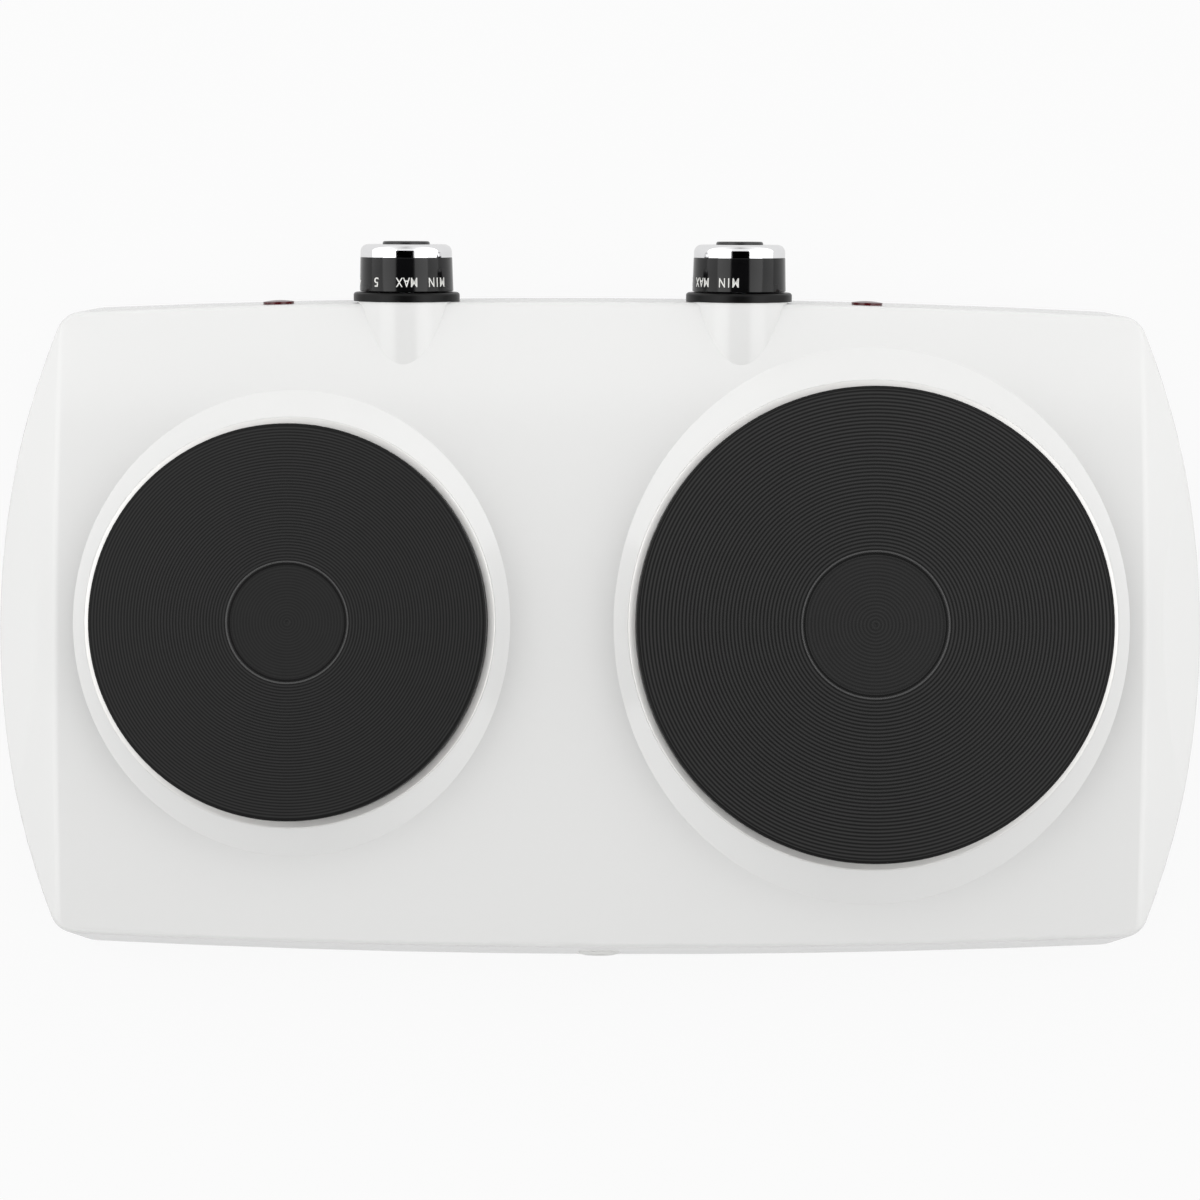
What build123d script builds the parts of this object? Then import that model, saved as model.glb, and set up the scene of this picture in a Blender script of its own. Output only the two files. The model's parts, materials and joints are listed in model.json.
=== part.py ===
from build123d import *

import os
from math import cos, radians, sin, sqrt, tan

os.makedirs("parts", exist_ok=True)

# A table-top electric hot plate with a large and a small cast iron plate, in millimetres and degrees.
# The table is Z = 0 and the front with its knobs faces -Y.
# The origin is below the middle of the whole object.

# Heights, each measured from the one before it
foot_height = 11.0  # table to the underside of the base plate
base_sheet = 1.0  # base plate thickness
housing_height = 58.0  # rim of the housing to the crown of its top panel
collar_height = 5.0  # crown to the land that carries a trim ring
ring_sheet = 0.8  # trim ring thickness
plate_rim = 8.2  # edge of a plate above its trim ring

# Housing, pressed from one sheet
sheet = 1.0
base_depth = 273.5  # front to rear along the rim
wing_reach = 33.2  # crease of the top panel to the end of the rim
end_radius = 330.0  # bow of the two ends, at the rim
end_shift = 2.0  # middle of the two ends, behind the middle of the housing
bow_radius = 4500.0  # bow of the front and the rear, at the rim
corner_radius = 19.0
draft = 10.5  # lean of the walls from upright
arch_radius = 725.0  # crown of the top panel, front to rear
wing_slope = 22.0  # fall of the end wings
facet_slope = 36.0  # fall of the grip facet on a wing
facet_start = 7.7  # crease to the grip facet, at the middle of a wing
edge_radius = 3.0  # bend between the top and the walls
crease_radius = 8.0  # soft bend between the panel and a wing
flange_width = 12.0  # inward flange of the rim
collar_flare = 47.0  # lean of the collars from upright

# Plates
large_diameter = 185.0
small_diameter = 154.0
plate_gap = 58.0  # between the two plates
large_margin = 15.0  # large plate to its end crease
small_margin = 16.0  # small plate to its end crease
large_recess = 57.0  # diameter of the shallow recess in the large plate
small_recess = 47.0
recess_depth = 0.8
plate_thickness = 8.0  # cooking face to the coil
plate_edge = 1.0  # rounded upper edge
rim_overhang = 4.5  # rim outside the skirt of the casting
skirt_wall = 5.0
skirt_depth = 13.8  # below the rim
hub_radius = 9.0
ring_reach = 3.1  # trim ring beyond the plate
bead_radius = 0.8  # rolled edge of the trim ring
land_margin = 0.3  # land beyond the trim ring
seat_clearance = 0.3  # casting to trim ring
hole_clearance = 1.0  # casting to the hole in the housing

# Heating coils and what closes a casting from below
coil_radius = 2.2
coil_inner = 22.0  # first turn
coil_pitch = 9.0
coil_margin = 3.0  # last turn to the skirt
board_gap = 0.5  # insulating board to the casting
coil_fit = 0.05  # coil to the casting and to the board
cover_sheet = 0.8
cover_step = 3.0  # pressed step of the bottom cover
cover_margin = 2.0  # step to the outer bead
cover_clearance = 0.3  # cover to the stud
stud_radius = 3.0
stud_grip = 8.0  # length screwed into the casting
stud_tail = 3.0  # stud beyond its nut
thread_clearance = 0.1
nut_flats = 10.0
nut_thickness = 5.0
clamp_width = 22.0
clamp_sheet = 2.0
clamp_drop = 4.0  # bottom cover to the bridge
clamp_gap = 1.5  # skirt of the casting to the legs of the bridge
clamp_margin = 1.2  # feet of the bridge to the collar
pin_radius = 1.5
pin_length = 27.0
bead_outer = 4.5  # ceramic bead on a pin
bead_length = 11.0
pin_clearance = 0.15

# Controls on the front wall
knob_height = 34.5  # rim to the axis of a knob
large_knob_offset = 51.3  # from the middle of the plate that it serves
small_knob_offset = -42.7
boss_radius = 19.25
boss_rise = 0.4  # boss in front of the wall
boss_depth = 45.0
bezel_radius = 21.25
bezel_thickness = 3.5
bezel_hole = 10.5
bezel_edge = 1.2
knob_gap = 0.4  # knob to its bezel
knob_radius = 18.75
knob_taper = 0.4  # smaller at the front
knob_length = 13.4
knob_wall = 2.2
knob_cavity = 9.0
knob_hub = 6.5
cap_radius = 18.25
cap_length = 5.1
cap_edge = 3.0
insert_radius = 9.5
insert_depth = 1.5  # sunk into the cap
insert_rise = 1.2
insert_edge = 0.8
insert_clearance = 0.1
shaft_radius = 3.0
shaft_clearance = 0.05
shaft_flat = 0.8  # depth of the flat that drives the knob
shaft_seat = 11.0  # length inside the knob

# Thermostats behind the front wall
bush_radius = 4.9
bush_collar = 7.0
bush_collar_length = 4.0
bush_clearance = 0.15
bush_front = 2.9  # threaded end in front of the boss
bush_nut_flats = 14.0
bush_nut_thickness = 1.9
frame_sheet = 1.5
frame_height = 16.0
frame_reach = 44.0  # from the shaft towards the middle
frame_tail = 13.0  # from the shaft away from the middle
frame_low = 3.0  # frame below the shaft
stack_reach = 36.0  # shaft to the stack of the blades
stack_radius = 5.5
stack_foot = 6.5  # first spacer
stack_spacer = 4.0
stack_bore = 1.7
stack_screw = 1.5
stack_head = 2.8
stack_head_length = 2.0
blade_sheet = 0.5
blade_width = 9.0
blade_tip = 6.0  # blade past the shaft
contact_tail = 18.0  # contact blade past the stack
bimetal_tail = 10.0  # bimetal blade past the stack
shaft_blade_gap = 0.3

# Lamps
lamp_offset = 51.7  # knob to lamp
lamp_height = 33.0  # rim to the axis of a lamp
lens_radius = 6.2
lens_rise = 1.6
lens_dome = 0.6
lens_neck = 4.8
lens_neck_length = 5.0
lamp_body_radius = 5.6
lamp_body_length = 17.0
lamp_clearance = 0.15

# Base, feet and screws
base_gap = 1.2  # base plate inside the rim
slot_length = 42.0
slot_width = 4.0
slot_pitch = 13.0
slot_rows = 2
slot_row_pitch = 62.0
large_slots = 9
small_slots = 7
foot_inset_x = 15.0  # crease to a foot
foot_inset_y = 31.0  # rim to a foot
foot_radius = 10.0
foot_flare = 1.5
foot_edge = 1.2
foot_recess_radius = 4.0
foot_recess_depth = 3.0
foot_neck = 4.0
foot_head = 5.6
foot_head_length = 3.0
foot_clearance = 0.15
screw_pitch = 150.0
screw_inset = 9.0  # rim to a screw
screw_radius = 1.45
screw_clearance = 0.25
screw_head = 3.6
screw_head_length = 2.2
screw_tip = 3.5  # screw above the flange
thread_fit = 0.05

# Mains inlet
inlet_height = 13.0  # rim to the middle of the cord bushing
bushing_flange = 8.6
bushing_flange_length = 1.2
bushing_neck = 6.4
bushing_bore = 4.1
bushing_length = 9.0  # behind the outer face of the wall
bushing_barb = 0.8
bushing_barb_length = 2.5
bushing_clearance = 0.15
block_inset = 45.0  # rim to the middle of the terminal block
block_length = 34.0
block_depth = 20.0
block_height = 16.0
block_edge = 1.5
pole_pitch = 10.0
pole_height = 6.0
pole_bore = 2.7
pole_well = 2.6
pole_well_depth = 6.0
pole_screw = 2.4
pole_screw_length = 4.0
earth_offset = 38.0  # terminal block to the earth screw
earth_head = 4.0
earth_head_length = 2.6
earth_tag = 5.0
earth_tag_sheet = 0.8
earth_tail = 5.0

# Leads between the terminal block, the thermostats and the plates
lead_radius = 1.2
lead_floor_gap = 0.2  # lead above the base plate
lead_bend = 6.0
lead_end_gap = 0.1
lead_pair = 1.4  # half of the pitch of two leads in one pole
lead_exit = 12.0  # straight run out of the terminal block
lead_inset = 2.0  # lead to the end of a blade
lead_cross = 30.0  # terminal block to the crossing of two leads

# Places worked out from the sizes above
rim_z = foot_height + base_sheet
crown_z = rim_z + housing_height
land_z = crown_z + collar_height
rim_under_z = land_z + ring_sheet
plate_top_z = rim_under_z + plate_rim
half_depth = base_depth / 2
arch_fall = arch_radius - sqrt(arch_radius**2 - half_depth**2)  # crown to the front of the panel
crease_x = (large_margin + large_diameter + plate_gap + small_diameter + small_margin) / 2
half_length = crease_x + wing_reach
lean = tan(radians(draft))
axis_out = (0, -cos(radians(draft)), sin(radians(draft)))
knob_z = rim_z + knob_height
knob_start = bezel_thickness + knob_gap
knob_front = knob_start + knob_length
cap_front = knob_front + cap_length
tip = cap_front + insert_rise
cut_through = 4 * sheet  # height of a cut through the sheet
stand = (Align.CENTER, Align.CENTER, Align.MIN)  # upwards from a place
hang = (Align.CENTER, Align.CENTER, Align.MAX)  # downwards from a place


def wall_y(x, z):
    """Distance of the front or rear wall from the middle of the housing, at its outer face."""
    radius = bow_radius - (z - rim_z) * lean
    return sqrt(radius**2 - x**2) - (bow_radius - half_depth)


front_reach = wall_y(large_knob_offset, knob_z) + (boss_rise + tip) * cos(radians(draft))
front_reach += insert_radius * sin(radians(draft))
body_y = (front_reach - half_depth) / 2  # middle of the housing


class Burner:
    """Places of one plate, and of the knob and the lamp that belong to it."""

    def __init__(self, radius, recess, side, margin, knob_offset, slots):
        self.radius = radius
        self.recess = recess / 2
        self.x = side * (crease_x - margin - radius)
        self.skirt = radius - rim_overhang
        self.land = radius + ring_reach + land_margin
        self.inner = self.skirt - skirt_wall
        self.turns = int((self.inner - coil_margin - coil_radius - coil_inner) // coil_pitch)
        self.coil_end = coil_inner + self.turns * coil_pitch
        self.cover_flat = self.coil_end - bead_outer - cover_margin
        self.knob_x = self.x + knob_offset
        self.lamp_x = self.knob_x + side * lamp_offset
        self.inward = -side  # direction from the knob to the middle of the front
        self.slots = slots


burners = {
    "large": Burner(large_diameter / 2, large_recess, -1, large_margin, large_knob_offset, large_slots),
    "small": Burner(small_diameter / 2, small_recess, 1, small_margin, small_knob_offset, small_slots),
}


def keep(piece, label):
    """Label a finished piece and write it."""
    piece.part.label = label
    export_step(piece.part, f"parts/{label}.step")


def control_plane(burner):
    """Plane on the face of a knob boss: X to the right, Y up along the wall, Z out along the knob."""
    place = (burner.knob_x, body_y - wall_y(burner.knob_x, knob_z), knob_z)
    return Plane(place, x_dir=(1, 0, 0), z_dir=axis_out).offset(boss_rise)


def lamp_plane(burner):
    """Plane on the front wall at a lamp, square to the bowed wall."""
    z = rim_z + lamp_height
    yaw = burner.lamp_x / bow_radius
    out = (sin(yaw) * cos(radians(draft)), axis_out[1] * cos(yaw), axis_out[2])
    place = (burner.lamp_x, body_y - wall_y(burner.lamp_x, z), z)
    return Plane(place, x_dir=(cos(yaw), sin(yaw), 0), z_dir=out)


def turning_plane(plane):
    """Plane for a half section: X is the radius and Y runs along the axis of the given plane."""
    return Plane(plane.origin, x_dir=plane.x_dir, z_dir=plane.x_dir.cross(plane.z_dir))


def corner(section, radius, height):
    """Corner of a half section nearest to a place on it."""
    return section.vertices().sort_by_distance((radius, height, 0))[0]


def plate_section(burner):
    """Plane for a half section of a plate: X is the radius and Y the height above the table."""
    return turning_plane(Plane((burner.x, body_y, 0)))


def plate_axis(burner):
    return Axis((burner.x, body_y, 0), (0, 0, 1))


def rim_outline(inset):
    """Plan of the housing at its rim, moved inwards by inset."""
    bow = bow_radius - inset
    end = end_radius - inset
    with BuildSketch() as plan:
        with Locations((0, half_depth - inset - bow)):
            Circle(bow)
        with Locations((0, bow - half_depth + inset)):
            Circle(bow, mode=Mode.INTERSECT)
        with Locations((half_length - inset - end, end_shift)):
            Circle(end, mode=Mode.INTERSECT)
        with Locations((end - half_length + inset, end_shift)):
            Circle(end, mode=Mode.INTERSECT)
        fillet(plan.vertices(), corner_radius - inset)
    return plan.sketch.moved(Location((0, body_y, 0)))


def top_form(depth):
    """Solid under the arched panel and its two wings, for a skin that lies depth below the outer face."""
    crown = crown_z - depth
    arch = arch_radius - depth
    crease = crease_x - depth * tan(radians(wing_slope / 2))
    wing = (cos(radians(wing_slope)), 0, -sin(radians(wing_slope)))
    with BuildPart() as top:
        with BuildSketch(Plane.YZ.offset(-crease)):
            with Locations((body_y, crown - arch)):
                Circle(arch)
            with Locations((body_y, crown)):
                Rectangle(2 * base_depth, 2 * crown, mode=Mode.INTERSECT)
        extrude(amount=2 * crease)
        ends = top.faces().filter_by(Axis.X).sort_by(Axis.X)
        extrude(ends[-1], amount=2 * wing_reach, dir=wing)
        extrude(ends[0], amount=2 * wing_reach, dir=(-wing[0], 0, wing[2]))
        slope = radians(facet_slope)
        for side in (1, -1):
            start = (
                side * (crease_x + facet_start),
                body_y,
                crown_z - facet_start * tan(radians(wing_slope)),
            )
            facet = Plane(start, x_dir=(0, 1, 0), z_dir=(side * sin(slope), 0, cos(slope)))
            split(bisect_by=facet.offset(-depth), keep=Keep.BOTTOM)
    return top.part


def upper_edges(form):
    """Edges of the top, clear of the rim and the upright corners."""
    return form.edges().filter_by(lambda edge: edge.bounding_box().min.Z > rim_z + housing_height / 3)


def is_fold(edge):
    """A fold of the top crosses the middle of the housing, inside its two ends."""
    middle = edge.center()
    return abs(middle.Y - body_y) < sheet and abs(middle.X) < half_length - wing_reach / 2


def housing_form(depth):
    """Solid inside the skin that lies depth below the outer face of the housing."""
    low = rim_z + depth
    high = land_z
    skin = depth / cos(radians(draft))
    top = top_form(depth)
    with BuildPart() as form:
        with BuildSketch(Plane.XY.offset(low)):
            add(rim_outline(skin + depth * lean))
        with BuildSketch(Plane.XY.offset(high)):
            add(rim_outline(skin + (high - rim_z) * lean))
        loft(ruled=True)
        add(top, mode=Mode.INTERSECT)
        fillet(upper_edges(form).filter_by(is_fold), crease_radius - depth)
        fillet(upper_edges(form).filter_by(lambda edge: not is_fold(edge)), edge_radius - depth)
        flare = radians(collar_flare)
        for burner in burners.values():
            height = collar_height + arch_fall
            foot = burner.land - depth / cos(flare) + (height + depth) * tan(flare)
            with Locations((burner.x, body_y, land_z - depth)):
                Cone(foot, foot - height * tan(flare), height, align=hang)
            with BuildSketch(control_plane(burner).offset(-depth)):
                Circle(boss_radius - depth)
            extrude(amount=depth - boss_depth)
    return form.part


inlet_z = rim_z + inlet_height
inlet_plane = Plane(
    (0, body_y + wall_y(0, inlet_z), inlet_z), x_dir=(-1, 0, 0), z_dir=(0, -axis_out[1], axis_out[2])
)


def screw_places():
    """Places of the base screws around the flange."""
    sides = GridLocations(screw_pitch, base_depth - 2 * screw_inset, 3, 2)
    places = [(place.position.X, place.position.Y + body_y) for place in sides]
    return places + [(side * (half_length - screw_inset), body_y) for side in (1, -1)]


def foot_places():
    grid = GridLocations(2 * (crease_x - foot_inset_x), base_depth - 2 * foot_inset_y, 2, 2)
    return [(place.position.X, place.position.Y + body_y) for place in grid]


# Housing: outer skin less inner skin, with an inward flange at the rim and the holes for what it carries
inner_form = housing_form(sheet)
with BuildPart() as housing:
    add(housing_form(0))
    add(inner_form, mode=Mode.SUBTRACT)
    with BuildSketch(Plane.XY.offset(rim_z)):
        add(rim_outline(flange_width))
    extrude(amount=sheet, mode=Mode.SUBTRACT)
    with Locations(*[(x, y, rim_z) for x, y in screw_places()]):
        Cylinder(screw_radius + thread_fit, cut_through, mode=Mode.SUBTRACT)
    for burner in burners.values():
        with Locations((burner.x, body_y, land_z)):
            Cylinder(burner.skirt + hole_clearance, cut_through, mode=Mode.SUBTRACT)
        with BuildSketch(control_plane(burner).offset(sheet)):
            Circle(bush_radius + bush_clearance)
        extrude(amount=-cut_through, mode=Mode.SUBTRACT)
        with BuildSketch(lamp_plane(burner).offset(sheet)):
            Circle(lens_neck + lamp_clearance)
        extrude(amount=-cut_through, mode=Mode.SUBTRACT)
    with BuildSketch(inlet_plane.offset(sheet)):
        Circle(bushing_neck + bushing_clearance)
    extrude(amount=-cut_through, mode=Mode.SUBTRACT)
keep(housing, "housing")

# Base plate: a flat sheet under the flange, with vents below each plate
block_y = body_y + half_depth - block_inset
with BuildPart() as base_plate:
    with BuildSketch(Plane.XY.offset(foot_height)):
        add(rim_outline(base_gap))
        for burner in burners.values():
            with Locations((burner.x, body_y)):
                with GridLocations(slot_pitch, slot_row_pitch, burner.slots, slot_rows):
                    SlotOverall(slot_length, slot_width, rotation=90, mode=Mode.SUBTRACT)
        with Locations(*foot_places()):
            Circle(foot_neck + foot_clearance, mode=Mode.SUBTRACT)
        with Locations(*screw_places()):
            Circle(screw_radius + screw_clearance, mode=Mode.SUBTRACT)
        with Locations((earth_offset, block_y)):
            Circle(stack_screw + thread_fit, mode=Mode.SUBTRACT)
    extrude(amount=base_sheet)
keep(base_plate, "base_plate")

# Feet: rubber, pushed through the base plate, hollow underneath
for x, y in foot_places():
    with BuildPart() as foot:
        with BuildSketch(turning_plane(Plane((x, y, 0)))) as section:
            with BuildLine():
                Polyline(
                    (0, foot_recess_depth),
                    (foot_recess_radius, foot_recess_depth),
                    (foot_recess_radius, 0),
                    (foot_radius, 0),
                    (foot_radius + foot_flare, foot_height),
                    (foot_neck, foot_height),
                    (foot_neck, rim_z),
                    (foot_head, rim_z),
                    (foot_neck / 2, rim_z + foot_head_length),
                    (0, rim_z + foot_head_length),
                    close=True,
                )
            make_face()
            fillet(corner(section, foot_radius, 0), foot_edge)
        revolve(axis=Axis((x, y, 0), (0, 0, 1)))
    end = "front" if y < body_y else "rear"
    side = "left" if x < 0 else "right"
    keep(foot, f"foot_{end}_{side}")

# Base screws: one group around the flange
with BuildPart() as base_screws:
    with Locations(*[(x, y, foot_height) for x, y in screw_places()]):
        Cylinder(screw_head, screw_head_length, align=hang)
        Cylinder(screw_radius, base_sheet + sheet + screw_tip, align=stand)
keep(base_screws, "base_screws")

# Heights inside a casting
under_z = plate_top_z - plate_thickness  # face above the coil
skirt_z = rim_under_z - skirt_depth
hub_z = skirt_z - cover_step
cover_z = hub_z - cover_sheet  # lowest face of the bottom cover
coil_z = under_z - coil_fit - coil_radius
board_z = coil_z - coil_radius - coil_fit
clamp_z = cover_z - clamp_drop  # upper face of the bridge
nut_z = clamp_z - clamp_sheet - nut_thickness
pin_end_z = board_z - pin_length


def pin_places(burner):
    """Places of the two terminal pins, below the ends of the coil."""
    return [(burner.x, body_y + reach) for reach in (coil_inner, burner.coil_end)]


for name, burner in burners.items():
    # Plate: a casting with a turned face, a rim over the trim ring and a hollow skirt for the coil
    with BuildPart() as plate:
        with BuildSketch(plate_section(burner)) as section:
            with BuildLine():
                Polyline(
                    (0, plate_top_z - recess_depth),
                    (burner.recess - recess_depth, plate_top_z - recess_depth),
                    (burner.recess, plate_top_z),
                    (burner.radius, plate_top_z),
                    (burner.radius, rim_under_z),
                    (burner.skirt, rim_under_z),
                    (burner.skirt, skirt_z),
                    (burner.inner, skirt_z),
                    (burner.inner, under_z),
                    (hub_radius, under_z),
                    (hub_radius, hub_z),
                    (0, hub_z),
                    close=True,
                )
            make_face()
            fillet(corner(section, burner.radius, plate_top_z), plate_edge)
        revolve(axis=plate_axis(burner))
        with Locations((burner.x, body_y, hub_z)):
            Cylinder(stud_radius + thread_clearance, stud_grip, align=stand, mode=Mode.SUBTRACT)
    keep(plate, f"{name}_plate")

    # Trim ring: a flat ring with a rolled outer edge, held between the casting and the collar
    bead_x = burner.radius + ring_reach - bead_radius
    with BuildPart() as trim_ring:
        with BuildSketch(plate_section(burner)):
            with Locations((burner.skirt + seat_clearance, land_z)):
                Rectangle(bead_x - burner.skirt - seat_clearance, ring_sheet, align=(Align.MIN, Align.MIN))
            with Locations((bead_x, land_z + bead_radius)):
                Circle(bead_radius)
        revolve(axis=plate_axis(burner))
    keep(trim_ring, f"{name}_trim_ring")

    # Heating coil: a flat spiral of half turns around two middles, under the casting
    with BuildPart() as coil:
        with BuildLine(Plane((burner.x, body_y, coil_z))) as spiral:
            for turn in range(burner.turns):
                reach = coil_inner + turn * coil_pitch
                CenterArc((0, 0), reach, 90, 180)
                CenterArc((0, coil_pitch / 2), reach + coil_pitch / 2, -90, 180)
        with BuildSketch(Plane((burner.x, body_y + coil_inner, coil_z), z_dir=(-1, 0, 0))):
            Circle(coil_radius)
        sweep()
    keep(coil, f"{name}_heating_coil")

    # Insulating board: keeps the coil against the casting
    with BuildPart() as board:
        with BuildSketch(Plane((burner.x, body_y, skirt_z))):
            Circle(burner.inner - board_gap)
            Circle(hub_radius + board_gap, mode=Mode.SUBTRACT)
            with Locations((0, coil_inner), (0, burner.coil_end)):
                Circle(pin_radius + pin_clearance, mode=Mode.SUBTRACT)
        extrude(amount=board_z - skirt_z)
    keep(board, f"{name}_insulating_board")

    # Bottom cover: a stepped sheet disc against the skirt and the hub
    bend = cover_sheet * (sqrt(2) - 1)  # shift of a fold of 45 degrees through the sheet
    with BuildPart() as cover:
        with BuildSketch(plate_section(burner)):
            with BuildLine():
                Polyline(
                    (stud_radius + cover_clearance, cover_z),
                    (burner.cover_flat - cover_step, cover_z),
                    (burner.cover_flat, skirt_z - cover_sheet),
                    (burner.skirt, skirt_z - cover_sheet),
                    (burner.skirt, skirt_z),
                    (burner.cover_flat - bend, skirt_z),
                    (burner.cover_flat - bend - cover_step, hub_z),
                    (stud_radius + cover_clearance, hub_z),
                    close=True,
                )
            make_face()
        revolve(axis=plate_axis(burner))
        with Locations(*[(x, y, skirt_z) for x, y in pin_places(burner)]):
            Cylinder(pin_radius + pin_clearance, 4 * cover_step, mode=Mode.SUBTRACT)
    keep(cover, f"{name}_bottom_cover")

    # Clamp bridge: a bent strap that hooks under the collar and is drawn up by the stud
    leg = burner.skirt + clamp_gap
    pad = burner.land - sheet / cos(radians(collar_flare)) - clamp_margin
    with BuildPart() as clamp:
        with BuildSketch(plate_section(burner)):
            with BuildLine():
                Polyline(
                    (-pad, land_z - sheet),
                    (-leg, land_z - sheet),
                    (-leg, clamp_z),
                    (leg, clamp_z),
                    (leg, land_z - sheet),
                    (pad, land_z - sheet),
                    (pad, land_z - sheet - clamp_sheet),
                    (leg + clamp_sheet, land_z - sheet - clamp_sheet),
                    (leg + clamp_sheet, clamp_z - clamp_sheet),
                    (-leg - clamp_sheet, clamp_z - clamp_sheet),
                    (-leg - clamp_sheet, land_z - sheet - clamp_sheet),
                    (-pad, land_z - sheet - clamp_sheet),
                    close=True,
                )
            make_face()
        extrude(amount=clamp_width / 2, both=True)
        with Locations((burner.x, body_y, clamp_z)):
            Cylinder(stud_radius + cover_clearance, 4 * clamp_sheet, mode=Mode.SUBTRACT)
    keep(clamp, f"{name}_clamp_bridge")

    # Stud: draws the plate down on its collar
    stud_top = hub_z + stud_grip
    with BuildPart() as stud:
        with Locations((burner.x, body_y, stud_top)):
            length = stud_top - nut_z + stud_tail
            Cylinder(stud_radius, length, align=hang)
    keep(stud, f"{name}_stud")

# Stud nuts, terminal pins and their beads: groups of like pieces under both plates
with BuildPart() as stud_nuts:
    for burner in burners.values():
        with BuildSketch(Plane((burner.x, body_y, nut_z))):
            RegularPolygon(nut_flats / 2, 6, major_radius=False)
            Circle(stud_radius + thread_clearance, mode=Mode.SUBTRACT)
        extrude(amount=nut_thickness)
keep(stud_nuts, "stud_nuts")

with BuildPart() as terminal_pins:
    for burner in burners.values():
        with Locations(*[(x, y, board_z) for x, y in pin_places(burner)]):
            Cylinder(pin_radius, pin_length, align=hang)
keep(terminal_pins, "terminal_pins")

with BuildPart() as terminal_beads:
    for burner in burners.values():
        seats = zip(pin_places(burner), (cover_z, skirt_z - cover_sheet))
        for (x, y), seat in seats:
            with BuildSketch(Plane((x, y, seat))):
                Circle(bead_outer)
                Circle(pin_radius + pin_clearance, mode=Mode.SUBTRACT)
            extrude(amount=-bead_length)
keep(terminal_beads, "terminal_beads")

# Depths behind the face of a boss
frame_front = -sheet - bush_collar_length
frame_back = frame_front - frame_sheet
contact_front = frame_back - stack_foot
bimetal_front = contact_front - blade_sheet - stack_spacer
stack_back = bimetal_front - blade_sheet - stack_spacer
shaft_back = contact_front + shaft_blade_gap
shaft_front = knob_start + shaft_seat

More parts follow.
